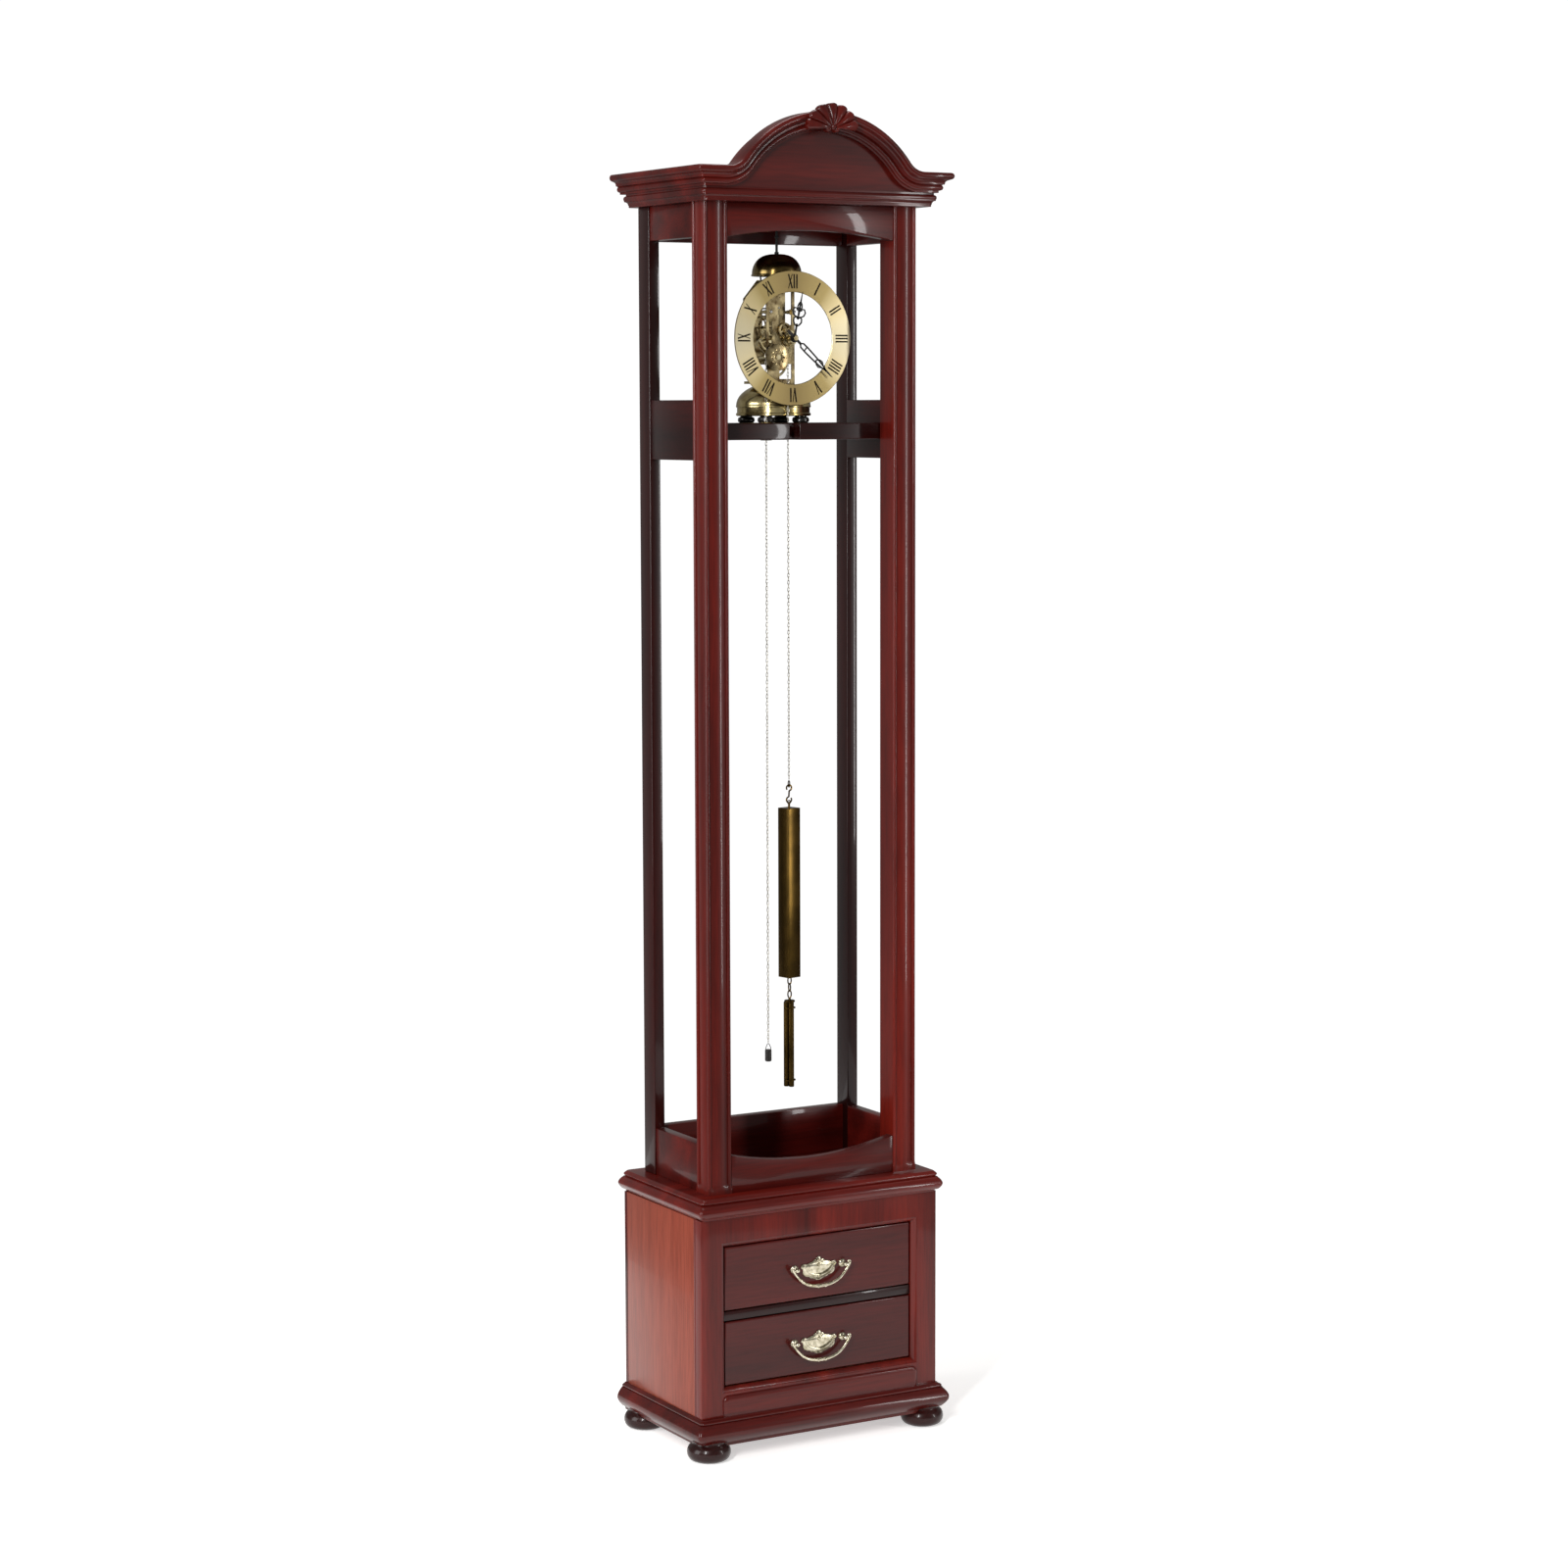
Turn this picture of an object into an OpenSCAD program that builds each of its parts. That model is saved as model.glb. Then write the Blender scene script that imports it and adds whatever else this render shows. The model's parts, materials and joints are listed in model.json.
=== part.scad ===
// Open-frame longcase clock: drawer base, four posts, chain-driven skeleton movement, arched bonnet.
// Millimetres, +Z up, front towards -Y, origin on the floor at the middle of the footprint.

/* [Frame] */
// Overall height to the tip of the shell carving
clock_h = 2000; // [1900:1:2400]
// Width over the outside of the four posts
frame_w = 362; // [330:1:440]
// Depth over the outside of the four posts
frame_d = 204; // [190:1:250]
// Width and depth of a moulded front post
front_post = 39.5; // [34:0.5:44]
// Width of a back post
back_post_w = 18; // [14:0.5:24]
// Depth of a back post
back_post_d = 33; // [26:0.5:40]
// Thickness of the rails
rail_t = 17; // [12:0.5:19]
// Distance from a post's outer face back to a rail's outer face
rail_inset = 2; // [1:0.5:3]

/* [Base] */
// Height of the bun feet
foot_h = 22; // [16:1:30]
// Widest diameter of a bun foot
foot_dia = 62; // [50:1:68]
// Height of the plinth moulding
plinth_h = 44; // [36:1:56]
// How far the plinth moulding stands out from the posts
plinth_reach = 40; // [36:1:46]
// How far the base's side panels stand out from the posts
base_side_reach = 25; // [22:1:30]
// How far the base's front and back stand out from the posts
base_front_reach = 20; // [18:1:24]
// Height of the top of the waist board above the floor
waist_z = 398; // [380:1:420]
// Thickness of the waist board
waist_t = 32; // [28:1:38]
// How far the waist board's nose stands out from the posts
waist_reach = 32; // [30:1:36]
// Thickness of the base's side panels and face frame
panel_t = 18; // [15:0.5:19]
// Thickness of the base's back panel
back_t = 8; // [5:0.5:10]
// Thickness of the base's floor
floor_t = 14; // [10:1:18]

/* [Drawers] */
// Width of the drawer opening
drawer_w = 328; // [280:1:340]
// Height of each drawer opening
drawer_h = 100; // [80:1:104]
// Height of the rail between the drawers
divider_h = 14; // [10:1:18]
// Height of the face frame below the lower drawer
sill_h = 86; // [78:1:90]
// How far the drawer fronts are set back from the face frame
drawer_inset = 8; // [5:0.5:9]
// Gap round a drawer front
drawer_gap = 2; // [1:0.25:3]
// Thickness of a drawer's sides
drawer_side_t = 10; // [8:0.5:12]
// Thickness of a drawer's bottom
drawer_floor_t = 6; // [4:0.5:8]
// Length of a drawer box behind its front
drawer_l = 200; // [150:1:210]
// Half the distance between a handle's two studs
stud_x = 42; // [36:0.5:50]
// Drop of the bail below its studs
bail_drop = 27; // [22:1:32]
// Radius of the bail's wire
bail_r = 2; // [1.5:0.1:2.4]

/* [Rails] */
// Height of the lower tray's side and back rails
tray_h = 72; // [55:1:90]
// Height of the tray's front rail at its ends
tray_front_h = 57; // [48:1:72]
// Dip of the tray's front rail at its middle
tray_dip = 18; // [10:1:22]
// Distance of the middle rails' upper edge below the bonnet
middle_down = 285; // [268:1:298]
// Height of the middle side rails
middle_h = 88; // [80:1:100]
// Distance of the seat board's upper face below the bonnet
seat_down = 319; // [313:1:328]
// Thickness of the seat board
seat_t = 25; // [20:1:28]
// Distance of the seat board's front edge in front of the middle of the frame
seat_front = 60; // [55:1:62]
// Height of the top rails below the cornice
top_rail_h = 50; // [44:1:60]
// Rise of the arch under the top front rail
top_rail_rise = 12; // [6:1:16]

/* [Bonnet] */
// Distance from the underside of the cornice up to the tip of the shell carving
bonnet_h = 142; // [142:1:160]
// Height of the straight lower moulding of the cornice
bed_h = 20; // [16:1:24]
// Height of the crown moulding where it runs straight
crown_h = 29; // [27:1:34]
// How far the crown moulding stands out at the sides
crown_side = 35; // [33:1:40]
// How far the crown moulding stands out at the front
crown_front_reach = 52; // [48:1:58]
// Radius of the arch's outer edge
arch_r = 175; // [165:1:180]
// Radius of the hollow curve at each foot of the arch
arch_foot_r = 32; // [24:1:40]
// Height of the arch above the straight crown
arch_rise = 82.5; // [70:0.5:90]
// Thickness of the shell carving
shell_t = 14; // [10:1:18]
// Half the width of the shell carving
shell_half_w = 43; // [36:1:48]
// Thickness of the top board
top_board_t = 10; // [8:1:14]

/* [Movement] */
// Height of the middle of the dial above the seat board
dial_up = 125; // [122:1:130]
// Outer radius of the chapter ring
dial_r = 99.5; // [94:0.5:102]
// Inner radius of the chapter ring
dial_bore_r = 68; // [64:0.5:72]
// Thickness of the chapter ring
dial_t = 2; // [1.5:0.25:3]
// Distance of the chapter ring's front in front of the middle of the frame
dial_y = 46; // [45:0.5:48]
// Thickness of a movement plate
plate_t = 2.5; // [2:0.25:3]
// Distance between the two movement plates
plate_gap = 66; // [60:1:68]
// Radius of the great, centre and cannon arbors
arbor_r = 2; // [1.8:0.05:2.4]
// Radius of the other arbors
pivot_r = 1.2; // [1:0.05:1.4]
// Running clearance between an arbor and its hole
run_gap = 0.05; // [0.03:0.01:0.08]
// Radius at which the chain runs on its sprocket
chain_pitch_r = 18.75; // [16:0.25:20]
// Radius of the chain's outline
chain_r = 1.8; // [1.4:0.1:2]
// Outer radius of the domed base
dome_r = 56.5; // [52:0.5:58]
// Height of the dome's straight rim
dome_rim_h = 16; // [12:1:20]
// Height of the dome above its rim
dome_h = 34; // [28:1:36]
// Height of the dome's feet
dome_foot_h = 10; // [8:1:14]
// Outer radius of the bell
bell_r = 38.5; // [34:0.5:42]
// Height of the bell
bell_h = 33; // [28:1:36]
// Distance of the bell's rim above the movement plates
bell_gap = 5; // [4:0.5:8]

/* [Weights] */
// Height of the hanging weights' lower end above the waist board
weight_up = 138; // [132:2:210]
// Height of the tail weight above the waist board
tail_up = 180; // [150:2:300]
// Side of the main weight's square section
weight_side = 24; // [20:0.5:26]
// Length of the main weight
weight_l = 258; // [220:1:262]
// Length of the hook between chain and weight
hook_l = 42; // [36:1:48]
// Length of the links between the two weights
link_l = 32; // [26:1:36]
// Length of the small weight
small_weight_l = 136; // [110:1:138]
// Radius of the small weight's rods
small_rod_r = 4.2; // [3.5:0.1:4.4]
// Radius of the tail weight
tail_weight_r = 5; // [4:0.25:6]
// Length of the tail weight
tail_weight_l = 18; // [14:1:22]

/* [Hidden] */
$fn = 48;
big = 1000;
mahogany = "#5c1510";
brass = "#c9a45c";
dark_brass = "#5a4526";
steel = "#8d8d90";
black = "#17130f";
pale_wood = "#8a6a45";

// Half sizes of the post frame and of the base box
hw = frame_w / 2;
hd = frame_d / 2;
base_hw = hw + base_side_reach;
base_hd = hd + base_front_reach;
inner_w = hw - front_post;
rail_x = hw - rail_inset - rail_t;
front_rail_y = -hd + rail_inset;
back_rail_y = hd - rail_inset - rail_t;
post_back_y = -hd + front_post;
back_post_y = hd - back_post_d;

// Levels
plinth_top = foot_h + plinth_h;
waist_under = waist_z - waist_t;
cornice_z = clock_h - bonnet_h;
middle_z = cornice_z - middle_down;
seat_z = cornice_z - seat_down;
crown_z = cornice_z + bed_h;
crown_top = crown_z + crown_h;
lower_drawer_z = foot_h + sill_h;
upper_drawer_z = lower_drawer_z + drawer_h + divider_h;
crown_y = -hd - crown_front_reach;
crown_back_y = crown_y + 32;

// The frame is set back so that the footprint's middle is at the origin
shell_y = crown_y - shell_t;
waist_back_y = hd + waist_reach;
case_y = -(shell_y + waist_back_y) / 2;

// Movement, in the frame's own middle plane
dial_z = seat_z + dial_up;
plate_y = -dial_y + 15.5;
front_y = plate_y - plate_t;
back_plate_y = plate_y + plate_gap;
arbor_end = back_plate_y + plate_t + 1;
table_z = seat_z + dome_foot_h + dome_rim_h + dome_h - 2;
table_t = 4;
plate_left = -38;
plate_right = 10;
plate_bottom = dial_z - 89;
plate_top = dial_z + 88;
dome_x = 6;
dome_y = 24;
dome_wall = 2;
foot_step = 30;
seat_back = dome_y + 49;
hub_at = [0, dial_z];
great_at = [-24, dial_z - 28];
third_at = [-14, dial_z + 16.5];
escape_at = [-20, dial_z + 32.4];
pallet_at = [-17, dial_z + 45];
balance_at = [-14, dial_z + 60];
minute_at = [-8, dial_z + 12];
hammer_at = [-22, dial_z + 74];
bell_x = 3.5;
bell_y = 8.5;
rod_r = 2;
escape_r = 8.2;
minute_angle = 132;
hour_angle = 12;
bell_z = plate_top + bell_gap;
great_n = 84;
center_pinion_n = 12;
center_n = 64;
third_pinion_n = 8;
third_n = 60;
escape_pinion_n = 8;
escape_n = 15;
cannon_n = 12;
minute_n = 36;
minute_pinion_n = 10;
hour_n = 40;
great_m = module_for(great_at - hub_at, great_n + center_pinion_n);
center_m = module_for(third_at - hub_at, center_n + third_pinion_n);
third_m = module_for(escape_at - third_at, third_n + escape_pinion_n);
cannon_m = module_for(minute_at - hub_at, cannon_n + minute_n);
hour_m = module_for(minute_at - hub_at, minute_pinion_n + hour_n);
cannon_r = arbor_r + 0.6;
pipe_r = cannon_r + run_gap + 1;
motion_y = front_y - 5.5;
pinion_y = motion_y + 3.5;
hub_front = -dial_y - 10;
minute_y = -dial_y - 6.5;
hour_y = -dial_y - 4;
sprocket_y = -dial_y + 4;
sprocket_t = 4.2;
chain_y = sprocket_y + sprocket_t / 2 + 0.9;
ratchet_y = sprocket_y + sprocket_t;
ratchet_t = 1.9;
ratchet_r = 9.3;
disc_y = ratchet_y + ratchet_t + 0.3;
click_pin = great_at + [13.5, 0];
right_x = great_at[0] + chain_pitch_r;
left_x = great_at[0] - chain_pitch_r;
small_top = waist_z + weight_up + small_weight_l;
weight_top = small_top + link_l + weight_l;
hook_z = weight_top + hook_l;
tail_z = waist_z + tail_up + tail_weight_l + 10;

// Handles
drawer_y = -base_hd + drawer_inset;
bail_y = drawer_y - 10;
stud_r = 3.4;
stud_len = 13;
plate_thick = 3;
bail_end_x = stud_x + 8;
bail_arc_r = (bail_end_x * bail_end_x + bail_drop * bail_drop) / (2 * bail_drop);

function module_for(d, teeth) = 2 * norm(d) / teeth;
function arc(c, r, a, b, n) = [for (i = [0:n]) c + r * [cos(a + (b - a) * i / n), sin(a + (b - a) * i / n)]];
function mirrored(points) = [for (i = [len(points) - 1:-1:0]) [-points[i][0], points[i][1]]];

// Profiles as [reach, height] pairs from the bottom up
plinth_profile = concat(
    [for (i = [0:6]) [plinth_reach - 7 + 7 * sin(30 * i), foot_h + plinth_h * 0.86 * i / 6]],
    [[plinth_reach - 11, foot_h + plinth_h * 0.92], [plinth_reach - 13, plinth_top]]);
waist_profile = concat([[waist_reach - 7, waist_under], [waist_reach - 4, waist_under + 2]],
    [for (i = [1:5]) [waist_reach - 3 + 3 * sin(30 * i), waist_under + 2 + waist_t * 0.06 * i]],
    [[waist_reach - 5, waist_under + waist_t * 0.5], [waist_reach - 7, waist_z - 9],
    [waist_reach - 6, waist_z - 6], [waist_reach - 6, waist_z - 2], [waist_reach - 8, waist_z]]);
bed_profile = [[12, cornice_z], [12, cornice_z + bed_h * 0.15], [16.5, cornice_z + bed_h * 0.42],
    [18, cornice_z + bed_h * 0.5], [18, cornice_z + bed_h * 0.8], [15, crown_z]];
// Steps of the crown moulding as [set back from its lip, height below its top]
crown_steps = [[0, crown_h * 0.48], [7, crown_h * 0.69], [13, crown_h * 0.83], [17, crown_h]];

// Set the frame back so that the middle of the footprint is at the origin
module set_back() {
    translate([0, case_y, 0]) children();
}

// Both sides of the frame
module both() {
    children();
    mirror([1, 0, 0]) children();
}

// A box given by its lowest and highest corners
module block(low, high) {
    translate(low) cube(high - low);
}

// A shape drawn in the front view, from y1 back to y2
module slab(y1, y2) {
    translate([0, y2, 0]) rotate([90, 0, 0]) linear_extrude(y2 - y1) children();
}

// A round bar along Y through [x, z], from y1 back to y2
module bar(at, r, y1, y2) {
    translate([at[0], y1, at[1]]) rotate([-90, 0, 0]) cylinder(r = r, h = y2 - y1);
}

// A block with the same moulding on all four sides, mitred at its corners
module moulded_block(half_w, front, back, profile) {
    last = len(profile) - 1;
    side = [for (p = profile) [half_w + p[0], p[1]]];
    intersection() {
        rotate([90, 0, 0]) linear_extrude(big, center = true) polygon(concat(side, mirrored(side)));
        rotate([90, 0, 90]) linear_extrude(big, center = true)
            polygon(concat([for (p = profile) [back + p[0], p[1]]],
                [for (i = [last:-1:0]) [-front - profile[i][0], profile[i][1]]]));
    }
}

function toward(a, b) = atan2(b[1] - a[1], b[0] - a[0]);

// Front view of a toothed wheel whose first tooth points along turn
module gear(at, n, m, turn) {
    root = m * (n / 2 - 1.1);
    tip = m * (n / 2 + 0.8);
    flank = [[-0.26, root], [-0.1, tip], [0.1, tip], [0.26, root]];
    translate(at) rotate(turn) polygon([for (i = [0:n - 1], k = flank)
        k[1] * [cos((i + k[0]) * 360 / n), sin((i + k[0]) * 360 / n)]]);
}

// Front view of the openings between a wheel's spokes
module crossings(at, hub, rim, spokes) {
    translate(at) difference() {
        circle(rim);
        circle(hub);
        for (i = [0:spokes - 1]) rotate(i * 360 / spokes + 20) translate([0, -1]) square([rim + 1, 2]);
    }
}

// A brass wheel with spokes, from y1 back to y2
module wheel(at, n, m, turn, y1, y2, spokes) {
    slab(y1, y2) difference() {
        gear(at, n, m, turn);
        crossings(at, m * n * 0.12 + 1.5, m * (n / 2 - 1.1) - 2.2, spokes);
    }
}

// Base

module bun_feet() {
    color(mahogany) set_back() for (x = [-1, 1], y = [-hd - 8, hd - 10])
        translate([x * (hw + 7), y, 0]) rotate_extrude() polygon(concat([[0, 0]],
            [for (i = [0:6]) [foot_dia * (0.4 + 0.1 * sin(30 * i)), foot_h * 0.82 * i / 6]],
            [[foot_dia * 0.36, foot_h * 0.84], [foot_dia * 0.36, foot_h], [0, foot_h]]));
}

module plinth_moulding() {
    color(mahogany) set_back() difference() {
        moulded_block(hw, hd, big, plinth_profile);
        block([-base_hw, -base_hd, 0], [base_hw, 2 * big, big]);
        block([-big, base_hd, 0], [big, 2 * big, big]);
    }
}

module base_floor() {
    color(mahogany) set_back() block([-base_hw + panel_t, -base_hd + panel_t, foot_h],
        [base_hw - panel_t, base_hd - back_t, foot_h + floor_t]);
}

module base_sides() {
    color(mahogany) set_back() both() block([base_hw - panel_t, -base_hd + panel_t, foot_h],
        [base_hw, base_hd - back_t, waist_under]);
}

module base_back() {
    color(mahogany) set_back() block([-base_hw, base_hd - back_t, foot_h], [base_hw, base_hd, waist_under]);
}

module face_frame() {
    color(mahogany) set_back() difference() {
        block([-base_hw, -base_hd, foot_h], [base_hw, -base_hd + panel_t, waist_under]);
        for (z = [lower_drawer_z, upper_drawer_z])
            block([-drawer_w / 2, -base_hd - 1, z], [drawer_w / 2, -base_hd + panel_t + 1, z + drawer_h]);
    }
}

module drawer_runners() {
    color(pale_wood) set_back() both() for (z = [lower_drawer_z, upper_drawer_z])
        block([drawer_w / 2 - 16, -base_hd + panel_t, z - 10], [base_hw - panel_t, base_hd - back_t, z]);
}

module waist_board() {
    color(mahogany) set_back() moulded_block(hw, hd, hd, waist_profile);
}

// Drawers and their handles, each at its opening's height

module drawer_front(z) {
    edge = drawer_w / 2 - drawer_gap;
    color(mahogany) set_back() block([-edge, drawer_y, z + drawer_gap],
        [edge, -base_hd + panel_t, z + drawer_h - drawer_gap]);
}

module drawer_box(z) {
    half = drawer_w / 2 - drawer_gap - 2;
    low = z + 0.5;
    front = -base_hd + panel_t;
    color(pale_wood) set_back() difference() {
        block([-half, front, low], [half, front + drawer_l, z + drawer_h - 14]);
        block([-half + drawer_side_t, front + drawer_side_t, low + drawer_floor_t],
            [half - drawer_side_t, front + drawer_l - drawer_side_t, z + drawer_h]);
    }
}

module handle_plate(z) {
    mid = z + drawer_h / 2;
    color(brass) set_back() difference() {
        union() {
            slab(drawer_y - plate_thick, drawer_y) translate([0, mid]) polygon([[-50, 2], [-44, 10],
                [-30, 7], [-18, 12], [0, 15], [18, 12], [30, 7], [44, 10], [50, 2], [40, -8], [22, -10],
                [0, -14], [-22, -10], [-40, -8]]);
            for (x = [-stud_x, stud_x])
                bar([x, mid], stud_r, drawer_y - stud_len, drawer_y - plate_thick / 2);
        }
        translate([-stud_x - 10, bail_y, mid]) rotate([0, 90, 0])
            cylinder(r = bail_r + 0.02 + run_gap, h = 2 * stud_x + 20);
    }
}

// An arc of wire with an inward pivot at each end
module bail(z) {
    mid = z + drawer_h / 2;
    sweep = 2 * asin(bail_end_x / bail_arc_r);
    pin_x = stud_x - stud_r - 1;
    color(brass) set_back() {
        translate([0, bail_y, mid - bail_drop + bail_arc_r]) rotate([90, 0, 0]) rotate(-90 - sweep / 2)
            rotate_extrude(angle = sweep) translate([bail_arc_r, 0]) circle(bail_r);
        both() translate([pin_x, bail_y, mid]) rotate([0, 90, 0])
            cylinder(r = bail_r + 0.02, h = bail_end_x + bail_r - pin_x);
    }
}

module upper_drawer_front() { drawer_front(upper_drawer_z); }
module upper_drawer_box() { drawer_box(upper_drawer_z); }
module lower_drawer_front() { drawer_front(lower_drawer_z); }
module lower_drawer_box() { drawer_box(lower_drawer_z); }
module upper_handle_plate() { handle_plate(upper_drawer_z); }
module lower_handle_plate() { handle_plate(lower_drawer_z); }
module upper_bail() { bail(upper_drawer_z); }
module lower_bail() { bail(lower_drawer_z); }

// Posts and rails

// The broad swelling on one face of a front post, in plan
module swelling() {
    half = front_post / 2 - 6.5;
    r = (half * half + 2.6 * 2.6) / (2 * 2.6);
    intersection() {
        translate([front_post / 2, r + 0.5]) circle(r, $fn = 180);
        translate([6.5, 0]) square([2 * half, 4]);
    }
}

module front_posts() {
    end = front_post - 3.3;
    color(mahogany) set_back() both() translate([-hw, -hd, waist_z])
        linear_extrude(cornice_z - waist_z) {
            translate([3, 3]) square(front_post - 3);
            for (at = [[3, 3], [end, 3], [3, end]]) translate(at) circle(3);
            swelling();
            mirror([1, -1]) swelling();
        }
}

module back_posts() {
    color(mahogany) set_back() both()
        block([hw - back_post_w, back_post_y, waist_z], [hw, hd, cornice_z]);
}

// A rail between the posts on both sides, from z1 to z2
module side_rails(z1, z2) {
    both() block([rail_x, post_back_y, z1], [rail_x + rail_t, back_post_y, z2]);
}

// A rail between the back posts, from z1 to z2
module back_rail(z1, z2) {
    block([-hw + back_post_w, back_rail_y, z1], [hw - back_post_w, back_rail_y + rail_t, z2]);
}

// A rail between the front posts less a circle whose lowest or highest point is at z
module curved_rail(z1, z2, z, dip) {
    r = (inner_w * inner_w + dip * dip) / (2 * abs(dip));
    slab(front_rail_y, front_rail_y + rail_t) difference() {
        translate([-inner_w, z1]) square([2 * inner_w, z2 - z1]);
        translate([0, z + sign(dip) * r]) circle(r, $fn = 360);
    }
}

module tray_rails() {
    color(mahogany) set_back() {
        curved_rail(waist_z, waist_z + tray_front_h, waist_z + tray_front_h - tray_dip, tray_dip);
        side_rails(waist_z, waist_z + tray_h);
        back_rail(waist_z, waist_z + tray_h);
    }
}

module middle_rails() {
    color(mahogany) set_back() side_rails(middle_z - middle_h, middle_z);
}

module seat_board() {
    color(mahogany) set_back() difference() {
        union() {
            block([-rail_x, max(-seat_front, post_back_y), seat_z - seat_t], [rail_x, seat_back, seat_z]);
            block([-inner_w, -seat_front, seat_z - seat_t], [inner_w, 0, seat_z]);
        }
        block([right_x - 8, -seat_front - 1, seat_z - seat_t - 1], [right_x + 8, chain_y + 8, seat_z + 1]);
        translate([left_x, chain_y, seat_z - seat_t - 1]) cylinder(r = 8, h = seat_t + 2);
    }
}

module top_rails() {
    low = cornice_z - top_rail_h;
    color(mahogany) set_back() {
        curved_rail(low, cornice_z, low + top_rail_rise, -top_rail_rise);
        side_rails(low, cornice_z);
        back_rail(low, cornice_z);
    }
}

// Bonnet

module cornice_bed() {
    color(mahogany) set_back() difference() {
        moulded_block(hw, hd + 14, hd - 1, bed_profile);
        block([-inner_w, -hd + 40, cornice_z - 1], [inner_w, hd - 40, crown_z + 1]);
    }
}

// The arched outline set in by d, from left to right
function arch_line(d) =
    let (zc = crown_top + arch_rise - arch_r, reach = arch_r + arch_foot_r,
        rise = arch_r + arch_foot_r - arch_rise, foot_x = sqrt(reach * reach - rise * rise),
        meet = atan2(rise, foot_x),
        right = concat(arc([0, zc], arch_r - d, 90, meet, 24),
            arc([foot_x, crown_top + arch_foot_r], arch_foot_r + d, 180 + meet, 270, 8)))
    concat(mirrored([for (i = [1:len(right) - 1]) right[i]]), right);

// Area under that outline down to z, out to half on both sides
module arch_area(d, half, z) {
    line = arch_line(d);
    polygon(concat([[-half, z], [-half, crown_top - d]], line, [[half, crown_top - d], [half, z]]));
}

module crown_front() {
    color(mahogany) set_back() for (s = crown_steps)
        slab(crown_y + s[0], crown_back_y) difference() {
            arch_area(0, hw + crown_side - s[0], crown_top - s[1] - 5);
            arch_area(s[1], hw + crown_side, crown_top - s[1] - 6);
        }
}

module crown_returns() {
    color(mahogany) set_back() both() for (s = crown_steps)
        block([hw + 9, crown_back_y, crown_top - s[1]], [hw + crown_side - s[0], hd + 23, crown_top]);
}

module top_board() {
    color(mahogany) set_back() difference() {
        block([-hw - 9, crown_back_y, crown_z], [hw + 9, hd + 15, crown_z + top_board_t]);
        translate([bell_x, bell_y, crown_z - 1]) cylinder(r = rod_r, h = top_board_t + 2);
    }
}

module tympanum() {
    color(mahogany) set_back() slab(crown_back_y - 8, crown_back_y) intersection() {
        arch_area(crown_h, hw, crown_z - 5);
        translate([-hw + 45, crown_z]) square([2 * hw - 90, arch_rise]);
    }
}

module bonnet_roof() {
    color(mahogany) set_back() slab(crown_back_y, crown_back_y + 28) intersection() {
        difference() {
            arch_area(8, hw, crown_z - 5);
            arch_area(15, hw + 1, crown_z - 6);
        }
        translate([-hw + 30, crown_z + top_board_t]) square([2 * hw - 60, 2 * arch_rise]);
    }
}

module shell_carving() {
    lobe = shell_half_w * 0.17;
    w = shell_half_w - lobe;
    h = 31;
    z = clock_h - lobe - h;
    tips = [for (i = [0:6]) [w * cos(5 + i * 85 / 3), z + h * sin(5 + i * 85 / 3)]];
    color(mahogany) set_back() slab(shell_y, crown_y) {
        polygon(concat([[w * 0.4, z - 5]], tips, [[-w * 0.4, z - 5]]));
        for (tip = tips) translate(tip) circle(lobe);
    }
}

// Movement stand and plates

// Half section of a dome's surface, up to height top above its rim
function dome_line(r, h, top, n) =
    let (last = asin(top / h)) [for (i = [0:n]) [r * cos(last * i / n), h * sin(last * i / n)]];

module dome_base() {
    rim_z = dome_foot_h + dome_rim_h;
    out = [for (p = dome_line(dome_r, dome_h, dome_h - 2, 12)) p + [0, rim_z]];
    inner = dome_line(dome_r - dome_wall, dome_h - dome_wall, dome_h - 2 - dome_wall, 12);
    in = [for (p = inner) p + [0, rim_z]];
    color(brass) set_back() translate([dome_x, dome_y, seat_z]) rotate_extrude($fn = 72) polygon(concat(
        [[dome_r - 30, dome_foot_h], [dome_r, dome_foot_h]], out, [[0, rim_z + dome_h - 2],
        [0, rim_z + dome_h - 2 - dome_wall]], [for (i = [12:-1:0]) in[i]],
        [[dome_r - dome_wall, dome_foot_h + dome_wall], [dome_r - 30, dome_foot_h + dome_wall]]));
}

module dome_feet() {
    color(black) set_back() for (x = [-1, 1], y = [-1, 1])
        translate([dome_x + x * foot_step, dome_y + y * foot_step, seat_z])
            cylinder(r1 = 13, r2 = 11, h = dome_foot_h);
}

module movement_table() {
    color(brass) set_back()
        block([plate_left, plate_y, table_z], [plate_right, back_plate_y, table_z + table_t]);
}

// Front view of a plate from z up, with its arbor holes; cut takes off its lower left corner
module plate_shape(z, cut) {
    difference() {
        polygon([[plate_left + cut, z], [plate_right, z], [plate_right, plate_top],
            [plate_left + 24, plate_top], [plate_left, plate_top - 28], [plate_left, z + cut * 2.4]]);
        for (at = [great_at, hub_at]) translate(at) circle(arbor_r + run_gap);
        for (at = [third_at, escape_at, pallet_at, balance_at, hammer_at])
            translate(at) circle(pivot_r + run_gap);
        translate([plate_left + 22, table_z + table_t + 3]) square([21, 22]);
        translate([hub_at[0] - 6, hub_at[1] + 20]) square([11, 56]);
        translate([plate_left + 4, great_at[1] + 14]) square([6, 42]);
    }
}

module front_plate() {
    color(brass) set_back() {
        slab(front_y, plate_y) plate_shape(plate_bottom, 2);
        bar(minute_at, pivot_r, motion_y - 1, plate_y - plate_t / 2);
        bar(minute_at, pivot_r + 1, motion_y - 1, motion_y - 0.35);
    }
}

module back_plate() {
    color(brass) set_back() slab(back_plate_y, back_plate_y + plate_t) plate_shape(table_z, 18);
}

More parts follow.
